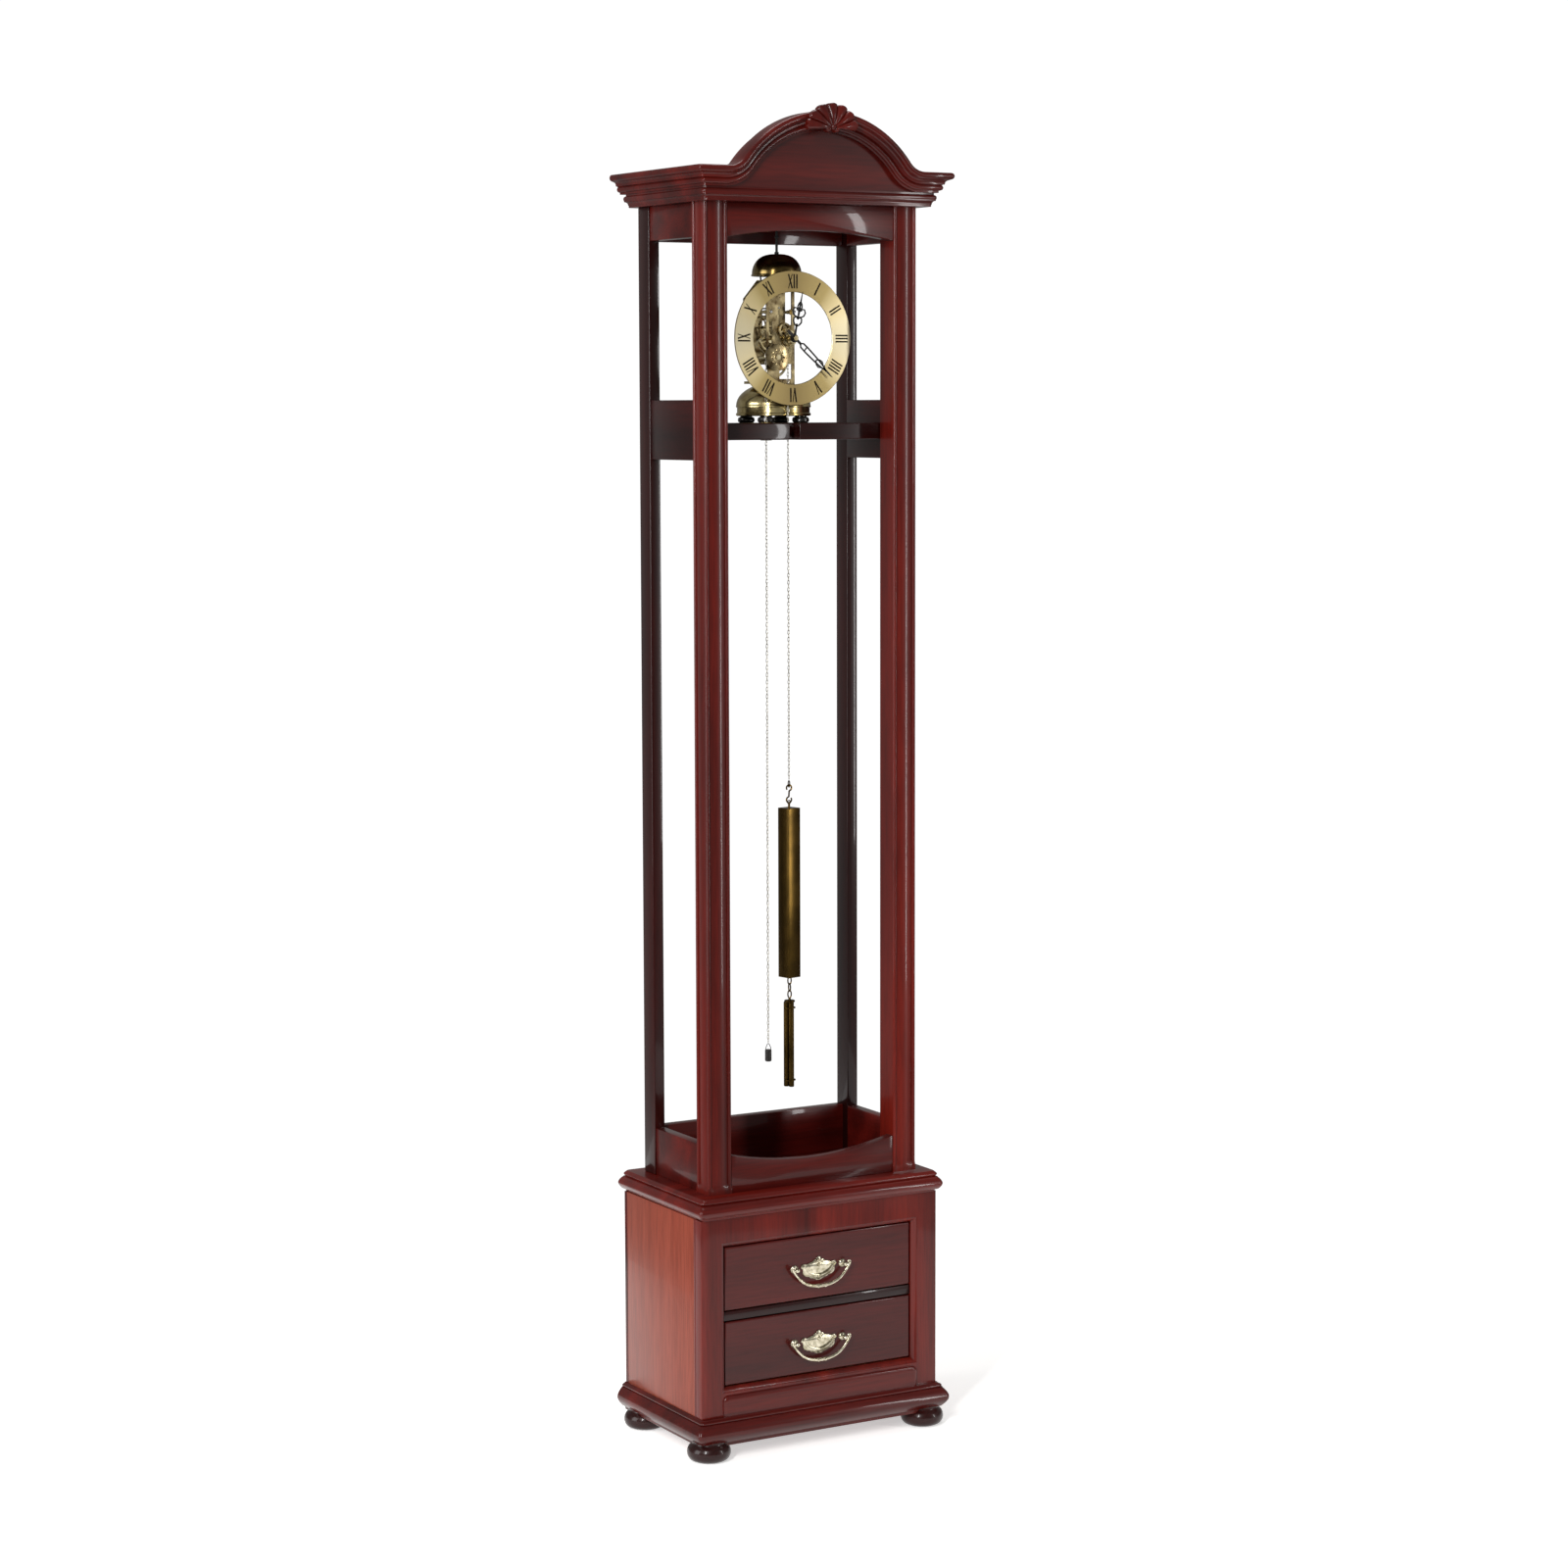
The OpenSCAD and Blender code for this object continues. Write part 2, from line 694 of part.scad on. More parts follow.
module plate_pillars() {
    color(brass) set_back() for (at = [[plate_left + 26, plate_top - 6], [plate_right - 4, plate_top - 6],
        [plate_left + 4, plate_top - 49], [plate_right - 4, plate_top - 49]])
            bar(at, 3, plate_y, back_plate_y);
}

module dial_pillars() {
    mid_r = (dial_r + dial_bore_r) / 2;
    color(brass) set_back() for (at = [[-5, 1], [3, -1], [plate_left + 4, -1]])
        bar([at[0], dial_z + at[1] * sqrt(mid_r * mid_r - at[0] * at[0])], 2.5, -dial_y + dial_t, front_y);
}

module dial_ring() {
    color("#d9cdb4") set_back() slab(-dial_y, -dial_y + dial_t) translate([0, dial_z]) difference() {
        circle(dial_r, $fn = 144);
        circle(dial_bore_r, $fn = 144);
    }
}

// Going train: every arbor runs from front to back

module center_wheel() {
    color(brass) set_back() {
        bar(hub_at, arbor_r - 0.4, hub_front, minute_y);
        bar(hub_at, arbor_r, minute_y - 0.4, arbor_end);
        bar(hub_at, cannon_r, minute_y - 0.4, pinion_y);
        slab(motion_y + 2, pinion_y)
            gear(hub_at, cannon_n, cannon_m, toward(hub_at, minute_at) + 180 / cannon_n);
        slab(-22, -16)
            gear(hub_at, center_pinion_n, great_m, toward(hub_at, great_at) + 180 / center_pinion_n);
        wheel(hub_at, center_n, center_m, toward(hub_at, third_at), 20, 22, 4);
    }
}

module minute_hand() {
    color(black) set_back() slab(minute_y, minute_y + 1) translate(hub_at) difference() {
        union() {
            circle(5.5);
            rotate(90 - minute_angle)
                polygon([[0, -2.5], [70, -2], [78, 0], [70, 2], [0, 2.5], [-16, 1.5], [-16, -1.5]]);
        }
        circle(cannon_r);
    }
}

module hand_nut() {
    color(brass) set_back() slab(hub_front + 0.6, minute_y - 0.4) translate(hub_at) difference() {
        circle(4, $fn = 6);
        circle(arbor_r - 0.4);
    }
}

module hour_wheel() {
    color(brass) set_back() difference() {
        union() {
            bar(hub_at, pipe_r, hour_y - 0.2, motion_y + 1);
            wheel(hub_at, hour_n, hour_m, toward(hub_at, minute_at), motion_y, motion_y + 1.5, 4);
        }
        bar(hub_at, cannon_r + run_gap, hour_y - 1, motion_y + 2);
    }
}

module hour_hand() {
    color(black) set_back() slab(hour_y, hour_y + 1) translate(hub_at) difference() {
        union() {
            circle(7);
            rotate(90 - hour_angle) polygon([[0, -3], [30, -2], [38, -7], [46, -2], [58, 0], [46, 2], [38, 7],
                [30, 2], [0, 3]]);
        }
        circle(pipe_r);
    }
}

module minute_wheel() {
    color(brass) set_back() difference() {
        union() {
            wheel(minute_at, minute_n, cannon_m, toward(minute_at, hub_at), motion_y + 2, pinion_y, 4);
            slab(motion_y, motion_y + 2.5)
                gear(minute_at, minute_pinion_n, hour_m, toward(minute_at, hub_at) + 180 / minute_pinion_n);
        }
        bar(minute_at, pivot_r + run_gap, motion_y - 1, plate_y);
    }
}

module great_wheel() {
    color(brass) set_back() {
        bar(great_at, arbor_r, sprocket_y - 1.6, arbor_end);
        bar(great_at, arbor_r + 1.6, sprocket_y - 1.6, sprocket_y - 0.4);
        bar(great_at, ratchet_r + 6.7, disc_y, disc_y + 1.2);
        bar(click_pin, pivot_r, ratchet_y + 0.1, disc_y + 0.5);
        wheel(great_at, great_n, great_m, toward(great_at, hub_at), -20, -18, 6);
    }
}

module chain_sprocket() {
    drum = chain_pitch_r - chain_r - 0.4;
    steps = [for (i = [0:11], k = [0, 1]) (ratchet_r - (1 - k) * 1.7)
        * [cos(i * 30 + 22 + k * 30), sin(i * 30 + 22 + k * 30)]];
    color(brass) set_back() difference() {
        union() {
            bar(great_at, drum, sprocket_y, ratchet_y);
            bar(great_at, chain_pitch_r + 1.5, sprocket_y, sprocket_y + 0.8);
            slab(ratchet_y - 0.5, ratchet_y + ratchet_t) translate(great_at) polygon(steps);
        }
        bar(great_at, arbor_r + run_gap, sprocket_y - 1, disc_y);
    }
}

module click() {
    nose = (ratchet_r + 0.45) * [cos(38), sin(38)];
    arm = click_pin - great_at;
    across = 0.6 * [-sin(toward(arm, nose)), cos(toward(arm, nose))];
    color(steel) set_back() slab(ratchet_y + 0.4, ratchet_y + ratchet_t - 0.1)
        translate(great_at) difference() {
            union() {
                translate(arm) circle(pivot_r + 1);
                polygon([arm + across, nose + across * 0.66, nose - across * 0.66, arm - across]);
            }
            translate(arm) circle(pivot_r + run_gap);
        }
}

module third_wheel() {
    color(brass) set_back() {
        bar(third_at, pivot_r, front_y - 1, arbor_end);
        slab(19, 23)
            gear(third_at, third_pinion_n, center_m, toward(third_at, hub_at) + 180 / third_pinion_n);
        wheel(third_at, third_n, third_m, toward(third_at, escape_at), 8, 9.5, 4);
    }
}

module escape_wheel() {
    color(brass) set_back() {
        bar(escape_at, pivot_r, front_y - 1, arbor_end);
        slab(7, 10.5)
            gear(escape_at, escape_pinion_n, third_m, toward(escape_at, third_at) + 180 / escape_pinion_n);
        slab(-10, -8.5) gear(escape_at, escape_n, escape_r / (escape_n / 2 + 0.8), 0);
    }
}

module pallet_lever() {
    up = toward(escape_at, pallet_at);
    color(steel) set_back() {
        bar(pallet_at, pivot_r, front_y - 1, arbor_end);
        slab(-10, -8.5) {
            translate(pallet_at) circle(2.2);
            for (side = [-1, 1]) {
                tip = escape_at + (escape_r + 1.3) * [cos(up + side * 38), sin(up + side * 38)];
                polygon([pallet_at + [side * -1.5, 1], pallet_at + [side * -1.5, -1.6],
                    tip + [side * -0.6, 0], tip + [side * -0.6, 1.5]]);
                translate(tip + [side * -0.3, 0.2]) circle(0.6);
            }
            translate(pallet_at) rotate(toward(pallet_at, balance_at)) translate([0, -0.8]) square([9, 1.6]);
        }
    }
}

module balance_wheel() {
    color(brass) set_back() {
        bar(balance_at, pivot_r, front_y - 1, arbor_end);
        slab(-14, -12) translate(balance_at) {
            difference() {
                circle(13);
                circle(11);
            }
            circle(3);
            translate([-12, -1]) square([24, 2]);
        }
    }
}

// Strike

module bell() {
    out = dome_line(bell_r, bell_h, bell_h, 12);
    in = dome_line(bell_r - 2, bell_h - 2, bell_h - 2, 12);
    color(dark_brass) set_back() translate([bell_x, bell_y, bell_z]) difference() {
        rotate_extrude($fn = 72) polygon(concat([for (i = [0:11]) out[i]], [[0, bell_h], [0, bell_h - 2]],
            [for (i = [11:-1:0]) in[i]]));
        cylinder(r = rod_r, h = big);
    }
}

module bell_rod() {
    crown = bell_z + bell_h;
    board_z = crown_z + top_board_t;
    color(steel) set_back() translate([bell_x, bell_y, 0]) {
        translate([0, 0, crown - 7]) cylinder(r = rod_r, h = board_z + 13 - crown);
        for (z = [crown - 5.2, crown, crown + 24, board_z])
            translate([0, 0, z]) cylinder(r = 4.5, h = 3, $fn = 6);
    }
}

module bell_hammer() {
    head = hammer_at + [-4, 29];
    color(steel) set_back() {
        bar(hammer_at, pivot_r, front_y - 1, arbor_end);
        bar(hammer_at, 3, bell_y - 2, bell_y + 2);
        slab(bell_y - 0.8, bell_y + 0.8)
            polygon([hammer_at + [-1.2, 0], hammer_at + [1.2, 0], head + [1, 0], head + [-1, 0]]);
        bar(head, 4, bell_y - 4, bell_y + 4);
    }
}

// Chain and weights, hanging from the sprocket

module chain_loop() {
    color(steel) set_back() translate([great_at[0], chain_y, great_at[1]]) rotate([90, 0, 0])
        rotate_extrude(angle = 180, $fn = 72) translate([chain_pitch_r, 0]) circle(chain_r, $fn = 16);
}

module strand(x, z) {
    color(steel) set_back() translate([x, chain_y, z]) cylinder(r = chain_r, h = great_at[1] - z, $fn = 16);
}

module weight_chain() { strand(right_x, hook_z); }
module tail_chain() { strand(left_x, tail_z); }

module weight_links() {
    color(dark_brass) set_back() for (z = [[weight_top, hook_z], [small_top, small_top + link_l]])
        translate([right_x, chain_y, z[0]]) cylinder(r = 1.6, h = z[1] - z[0]);
}

module main_weight() {
    color(dark_brass) set_back() translate([right_x, chain_y, weight_top - weight_l]) rotate(12)
        translate([-weight_side / 2, -weight_side / 2, 0]) cube([weight_side, weight_side, weight_l]);
}

module small_weight() {
    color(dark_brass) set_back() translate([right_x, chain_y, small_top - small_weight_l]) {
        for (a = [30, 150, 270]) rotate(a) translate([small_rod_r * 1.17, 0, 1])
            cylinder(r = small_rod_r, h = small_weight_l - 2);
        for (z = [0, small_weight_l - 3]) translate([0, 0, z]) cylinder(r = small_rod_r * 2, h = 3);
    }
}

module tail_weight() {
    color(black) set_back() translate([left_x, chain_y, tail_z - 10 - tail_weight_l]) {
        cylinder(r = tail_weight_r, h = tail_weight_l);
        cylinder(r = 1, h = tail_weight_l + 10);
    }
}

bun_feet();
plinth_moulding();
base_floor();
base_sides();
base_back();
face_frame();
drawer_runners();
waist_board();
upper_drawer_front();
upper_drawer_box();
lower_drawer_front();
lower_drawer_box();
upper_handle_plate();
lower_handle_plate();
upper_bail();
lower_bail();
front_posts();
back_posts();
tray_rails();
middle_rails();
seat_board();
top_rails();
cornice_bed();
crown_front();
crown_returns();
top_board();
tympanum();
bonnet_roof();
shell_carving();
dome_base();
dome_feet();
movement_table();
front_plate();
back_plate();
plate_pillars();
dial_pillars();
dial_ring();
center_wheel();
minute_hand();
hand_nut();
hour_wheel();
hour_hand();
minute_wheel();
great_wheel();
chain_sprocket();
click();
third_wheel();
escape_wheel();
pallet_lever();
balance_wheel();
bell();
bell_rod();
bell_hammer();
chain_loop();
weight_chain();
tail_chain();
weight_links();
main_weight();
small_weight();
tail_weight();
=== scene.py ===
import json
import math

import bmesh
import bpy
from mathutils import Matrix, Vector


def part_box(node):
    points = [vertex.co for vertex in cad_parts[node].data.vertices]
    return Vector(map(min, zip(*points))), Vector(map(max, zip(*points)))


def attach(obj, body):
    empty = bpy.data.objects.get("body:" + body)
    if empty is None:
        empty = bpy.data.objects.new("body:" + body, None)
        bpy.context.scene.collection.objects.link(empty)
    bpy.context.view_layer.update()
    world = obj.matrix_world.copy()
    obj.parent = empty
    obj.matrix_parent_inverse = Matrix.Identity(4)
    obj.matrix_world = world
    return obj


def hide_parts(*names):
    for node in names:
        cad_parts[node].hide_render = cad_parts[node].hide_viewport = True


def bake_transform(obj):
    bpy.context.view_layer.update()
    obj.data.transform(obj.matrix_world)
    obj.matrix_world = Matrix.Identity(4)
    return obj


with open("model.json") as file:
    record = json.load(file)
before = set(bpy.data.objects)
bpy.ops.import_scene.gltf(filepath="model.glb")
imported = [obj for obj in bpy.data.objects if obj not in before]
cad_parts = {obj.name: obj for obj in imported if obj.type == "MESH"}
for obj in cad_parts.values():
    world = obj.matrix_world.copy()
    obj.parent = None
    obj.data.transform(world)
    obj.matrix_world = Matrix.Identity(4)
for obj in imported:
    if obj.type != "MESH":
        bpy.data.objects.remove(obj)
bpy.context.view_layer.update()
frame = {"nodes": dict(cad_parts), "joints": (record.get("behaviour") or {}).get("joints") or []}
print("frame loaded")

mm = 0.001  # everything below is in millimetres until a piece is finished


def spot(node):
    low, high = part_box(node)
    return low / mm, high / mm


def pivot(name):
    place = [joint["pos_m"] for joint in frame["joints"] if joint["name"] == name][0]
    return [c / mm for c in place]


# ---- places read from the frame
posts = spot("front_posts")
backPosts = spot("back_posts")
base = spot("face_frame")
backPanel = spot("base_back")
halfW = posts[1].x
frontY = posts[0].y
backY = backPosts[1].y
postW = posts[1].y - posts[0].y
midY = (frontY + backY) / 2
halfD = (backY - frontY) / 2
dialLow, dialHigh = spot("dial_ring")
dialZ = (dialLow.z + dialHigh.z) / 2
crownTop = spot("crown_returns")[1].z
crownUnder = spot("crown_returns")[0].z
archTop = spot("crown_front")[1].z


# ---- colours and nodes
def shade(code):
    channels = [int(code[i:i + 2], 16) / 255 for i in (1, 3, 5)]
    return [c / 12.92 if c < 0.04045 else ((c + 0.055) / 1.055) ** 2.4 for c in channels] + [1]


def addNode(tree, kind, values=None, links=None, **settings):
    node = tree.nodes.new(kind)
    for key, value in settings.items():
        setattr(node, key, value)
    for key, value in (values or {}).items():
        node.inputs[key].default_value = value
    for key, source in (links or {}).items():
        tree.links.new(source, node.inputs[key])
    return node


def newFinish(name, **values):
    finish = bpy.data.materials.new(name)
    finish.use_nodes = True
    shader = finish.node_tree.nodes["Principled BSDF"]
    for key, value in values.items():
        shader.inputs[key.replace("_", " ")].default_value = value
    return finish, finish.node_tree, shader


def setRamp(ramp, stops):
    stripe = ramp.color_ramp
    while len(stripe.elements) < len(stops):
        stripe.elements.new(0.5)
    for element, (place, code) in zip(stripe.elements, stops):
        element.position = place
        element.color = shade(code)


# French-polished mahogany: soft figure and fine pores along the grain under a thin clear gloss
mahoganyLook = {"figure": 55, "pores": 1.6, "stretch": 0.06, "roughness": 0.3, "gloss": 0.35,
                "poreShare": 0.35}


def polishedMahogany(name, grain, dark, middle, light, gloss=mahoganyLook["gloss"]):
    look = mahoganyLook
    finish, tree, shader = newFinish(name, Roughness=look["roughness"], Specular_IOR_Level=0.2,
                                     Coat_Weight=gloss, Coat_Roughness=0.05, Coat_IOR=1.4)
    place = addNode(tree, "ShaderNodeTexCoord")
    along = [look["stretch"] if axis == grain else 1 for axis in "xyz"]
    turned = addNode(tree, "ShaderNodeMapping", {"Scale": along}, {"Vector": place.outputs["Object"]})
    figure = addNode(tree, "ShaderNodeTexNoise", {"Scale": 1000 / look["figure"], "Detail": 3,
                                                  "Roughness": 0.5, "Distortion": 0.4},
                     {"Vector": turned.outputs["Vector"]})
    pores = addNode(tree, "ShaderNodeTexNoise", {"Scale": 1000 / look["pores"] / 2, "Detail": 2},
                    {"Vector": turned.outputs["Vector"]})
    ramp = addNode(tree, "ShaderNodeValToRGB", links={"Fac": figure.outputs["Fac"]})
    setRamp(ramp, [(0.25, dark), (0.5, middle), (0.78, light)])
    fleck = addNode(tree, "ShaderNodeValToRGB", links={"Fac": pores.outputs["Fac"]})
    setRamp(fleck, [(0.35, "#9a9a9a"), (0.6, "#ffffff")])
    mixed = addNode(tree, "ShaderNodeMix", {"Factor": look["poreShare"]},
                    data_type="RGBA", blend_type="MULTIPLY")
    tree.links.new(ramp.outputs["Color"], mixed.inputs["A"])
    tree.links.new(fleck.outputs["Color"], mixed.inputs["B"])
    tree.links.new(mixed.outputs["Result"], shader.inputs["Base Color"])
    return finish


uprightWood = polishedMahogany("polishedMahoganyUpright", "z", "#3c0a06", "#58110a", "#741d12")
crossWood = polishedMahogany("polishedMahoganyCross", "x", "#2c0604", "#440b07", "#5c140d")
# side panels take lighter tones: painted light falling from the left
sidePanelLitWood = polishedMahogany("sidePanelMahoganyPaintedLight", "z", "#70301f", "#7c3829", "#884232", 0.1)
sillWood = polishedMahogany("waistBoardMahogany", "x", "#340705", "#520e08", "#70180e")
drawerWood = polishedMahogany("drawerMahogany", "x", "#360b09", "#450f0c", "#541511")
# near-black tones below are painted shade: for the feet, the recessed drawer divider, the seat board, the
# middle side rails and the back posts
paintedShadeWood = polishedMahogany("paintedShadeMahogany", "x", "#140303", "#220605", "#320a08")
paintedShadeSideWood = polishedMahogany("paintedShadeMahoganySide", "y", "#160404", "#260706", "#380c0a")
paintedShadeBackWood = polishedMahogany("paintedShadeMahoganyUpright", "z", "#120303", "#220504", "#340a07")


# Bare beech inside the drawers, dull and pale
def bareBeech():
    finish, tree, shader = newFinish("bareBeech", Roughness=0.6)
    place = addNode(tree, "ShaderNodeTexCoord")
    turned = addNode(tree, "ShaderNodeMapping", {"Scale": (1, 0.06, 1)}, {"Vector": place.outputs["Object"]})
    grain = addNode(tree, "ShaderNodeTexNoise", {"Scale": 120, "Detail": 4},
                    {"Vector": turned.outputs["Vector"]})
    ramp = addNode(tree, "ShaderNodeValToRGB", links={"Fac": grain.outputs["Fac"]})
    setRamp(ramp, [(0.35, "#8a6440"), (0.65, "#b08a5e")])
    tree.links.new(ramp.outputs["Color"], shader.inputs["Base Color"])
    return finish


# Metal whose colour varies a little with handling
def wornMetal(name, dark, light, roughness, patch=18):
    finish, tree, shader = newFinish(name, Metallic=1, Roughness=roughness)
    place = addNode(tree, "ShaderNodeTexCoord")
    cloud = addNode(tree, "ShaderNodeTexNoise", {"Scale": 1000 / patch, "Detail": 4},
                    {"Vector": place.outputs["Object"]})
    ramp = addNode(tree, "ShaderNodeValToRGB", links={"Fac": cloud.outputs["Fac"]})
    setRamp(ramp, [(0.35, dark), (0.65, light)])
    tree.links.new(ramp.outputs["Color"], shader.inputs["Base Color"])
    return finish


# Brass brushed in circles; its base colour carries a painted highlight, lighter at the ring's left and right
# sides and darker at top and bottom
def circularBrassWithPaintedHighlight(name, highlightTones):
    finish, tree, shader = newFinish(name, Metallic=1, Roughness=0.36, Anisotropic=0.7)
    place = addNode(tree, "ShaderNodeTexCoord")
    centred = addNode(tree, "ShaderNodeMapping", {"Location": (0, 0, -dialZ * mm)},
                      {"Vector": place.outputs["Object"]})
    axes = addNode(tree, "ShaderNodeSeparateXYZ", links={"Vector": centred.outputs["Vector"]})
    length = addNode(tree, "ShaderNodeVectorMath", links={0: centred.outputs["Vector"]}, operation="LENGTH")
    sideHighlightShare = addNode(tree, "ShaderNodeMath", links={0: axes.outputs["X"], 1: length.outputs["Value"]},
                       operation="DIVIDE")
    amount = addNode(tree, "ShaderNodeMath", links={0: sideHighlightShare.outputs["Value"]}, operation="ABSOLUTE")
    # painted highlight: the ramp lightens towards the ring's left and right sides
    ramp = addNode(tree, "ShaderNodeValToRGB", links={"Fac": amount.outputs["Value"]})
    setRamp(ramp, highlightTones)
    rings = addNode(tree, "ShaderNodeTexNoise", {"Scale": 2400, "Detail": 2},
                    {"W": length.outputs["Value"]}, noise_dimensions="1D")
    relief = addNode(tree, "ShaderNodeBump", {"Strength": 0.15, "Distance": 0.0001},
                     {"Height": rings.outputs["Fac"]})
    tree.links.new(ramp.outputs["Color"], shader.inputs["Base Color"])
    tree.links.new(relief.outputs["Normal"], shader.inputs["Normal"])
    around = addNode(tree, "ShaderNodeTangent", direction_type="RADIAL", axis="Y")
    tree.links.new(around.outputs["Tangent"], shader.inputs["Tangent"])
    return finish


beech = bareBeech()
brass = wornMetal("polishedBrass", "#b09c68", "#ecdfb6", 0.22)
plateBrass = wornMetal("tarnishedPlateBrass", "#56442a", "#c4b286", 0.26, 14)
handleBrass = wornMetal("paleHandleBrass", "#9f977e", "#ddd6c0", 0.26, 7)
domeBrass = wornMetal("lacqueredBrass", "#9c8958", "#d0c08e", 0.2)
# dial ring tones rise from darker top and bottom to a near-white painted highlight at 3 and 9 o'clock
ringBrassPaintedHighlight = circularBrassWithPaintedHighlight("brushedDialBrassPaintedHighlight", [(0.1, "#81704a"), (0.6, "#9d8b5c"), (0.85, "#d8c79a"),
                                               (1, "#f4e9c6")])
antiqueBrass = wornMetal("antiqueBrass", "#3a2c14", "#5e4820", 0.24, 40)
bellBronze = wornMetal("bellBrass", "#4e4022", "#8a764a", 0.2, 30)
steel = wornMetal("satinSteel", "#7d7c7a", "#a9a8a4", 0.35)
chainNickel = wornMetal("chainNickel", "#b5b0a4", "#dedad0", 0.3)
numeralBlack = newFinish("numeralEnamel", Base_Color=shade("#1c150c"), Roughness=0.6,
                         Specular_IOR_Level=0.1)[0]
handBlack = newFinish("blackenedSteel", Base_Color=shade("#100d0b"), Roughness=0.45,
                      Specular_IOR_Level=0.3)[0]
footBlack = newFinish("blackLacquer", Base_Color=shade("#15110e"), Roughness=0.3, Coat_Weight=0.4)[0]
print("finishes made")


# ---- ways of shaping
def finishPiece(bm, name, material, body, slotName, *nodes, angle=32):
    bmesh.ops.remove_doubles(bm, verts=bm.verts, dist=0.002)
    bmesh.ops.recalc_face_normals(bm, faces=bm.faces)
    bmesh.ops.scale(bm, vec=(mm, mm, mm), verts=bm.verts)
    mesh = bpy.data.meshes.new(name)
    bm.to_mesh(mesh)
    bm.free()
    mesh.materials.append(material)
    mesh.polygons.foreach_set("use_smooth", [True] * len(mesh.polygons))
    mesh.set_sharp_from_angle(angle=math.radians(angle))
    piece = bpy.data.objects.new(name, mesh)
    bpy.context.scene.collection.objects.link(piece)
    if body:
        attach(piece, body)
    if nodes:
        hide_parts(*nodes)
    return piece


def soften(bm, width, segments=2, above=30, among=None):
    edges = [e for e in (among or bm.edges) if e.is_valid and len(e.link_faces) == 2
             and e.calc_face_angle(0) > math.radians(above)]
    bmesh.ops.bevel(bm, geom=edges, offset=width, offset_type="OFFSET", segments=segments,
                    profile=0.5, affect="EDGES", material=-1, clamp_overlap=True)


def addBox(bm, low, high):
    low, high = Vector(low), Vector(high)
    made = bmesh.ops.create_cube(bm, size=1)["verts"]
    bmesh.ops.scale(bm, vec=high - low, verts=made)
    bmesh.ops.translate(bm, vec=(low + high) / 2, verts=made)
    return made


# A flat outline in the front view, given thickness from one y to another
def addSlab(bm, outline, y0, y1):
    verts = [bm.verts.new((x, y0, z)) for x, z in outline]
    face = bm.faces.new(verts)
    out = bmesh.ops.extrude_face_region(bm, geom=[face])["geom"]
    moved = [v for v in out if isinstance(v, bmesh.types.BMVert)]
    bmesh.ops.translate(bm, vec=(0, y1 - y0, 0), verts=moved)
    return verts + moved


# Turns a section of (radius, distance along) points about an axis
def addTurned(bm, section, centre, axis="z", steps=48, closed=False):
    centre = Vector(centre)
    place = {"z": lambda r, h: Vector((r, 0, h)), "y": lambda r, h: Vector((r, h, 0)),
             "x": lambda r, h: Vector((h, r, 0))}[axis]
    line = {"z": (0, 0, 1), "y": (0, 1, 0), "x": (1, 0, 0)}[axis]
    verts = [bm.verts.new(centre + place(r, h)) for r, h in section]
    pairs = list(zip(verts, verts[1:])) + ([(verts[-1], verts[0])] if closed else [])
    edges = [bm.edges.new(pair) for pair in pairs]
    bmesh.ops.spin(bm, geom=verts + edges, cent=centre, axis=line, angle=math.tau, steps=steps,
                   use_merge=True)


# Lays a grid over rows of points; around closes each row, endless joins the last row to the first
def addSkin(bm, rows, around=True, endless=False, capped=True):
    if around:
        rows = [list(row) + [row[0]] for row in rows]
    if endless:
        rows = rows + [rows[0]]
    across, up = len(rows[0]), len(rows)
    grid = bmesh.ops.create_grid(bm, x_segments=across - 1, y_segments=up - 1, size=1)["verts"]
    for vert, point in zip(grid, [p for row in rows for p in row]):
        vert.co = point
    out = bmesh.ops.remove_doubles(bm, verts=grid, dist=0.001)
    if capped and not endless:
        rims = [e for v in grid if v.is_valid for e in v.link_edges if e.is_boundary]
        bmesh.ops.holes_fill(bm, edges=list(set(rims)), sides=0)
    return out


# A round wire along a path, with one radius or one for each point
def addWire(bm, path, radius, sides=8, endless=False):
    path = [Vector(p) for p in path]
    count = len(path)
    widths = radius if isinstance(radius, (list, tuple)) else [radius] * count
    turns = [math.tau * k / sides for k in range(sides)]
    rows = []
    side = None
    for i, point in enumerate(path):
        if endless:
            ahead = path[(i + 1) % count] - path[i - 1]
        else:
            ahead = path[min(i + 1, count - 1)] - path[max(i - 1, 0)]
        ahead.normalize()
        if side is None:
            side = ahead.orthogonal().normalized()
        side = (side - ahead * side.dot(ahead)).normalized()
        other = ahead.cross(side)
        rows.append([point + widths[i] * (side * math.cos(a) + other * math.sin(a)) for a in turns])
    addSkin(bm, rows, endless=endless)


# Points on a circle, one for each angle given in degrees
def circlePoints(radius, angles, x=0, z=0):
    return [(x + radius * math.cos(math.radians(a)), z + radius * math.sin(math.radians(a))) for a in angles]


def turnVerts(bm, verts, degrees, axis):
    bmesh.ops.rotate(bm, cent=(0, 0, 0), matrix=Matrix.Rotation(math.radians(degrees), 3, axis), verts=verts)


def blockPiece(name, material, body, slotName, node, soft=1.2, boxes=None):
    bm = bmesh.new()
    for low, high in boxes or [spot(node)]:
        addBox(bm, low, high)
    soften(bm, soft, 3)
    return finishPiece(bm, name, material, body, slotName, node)


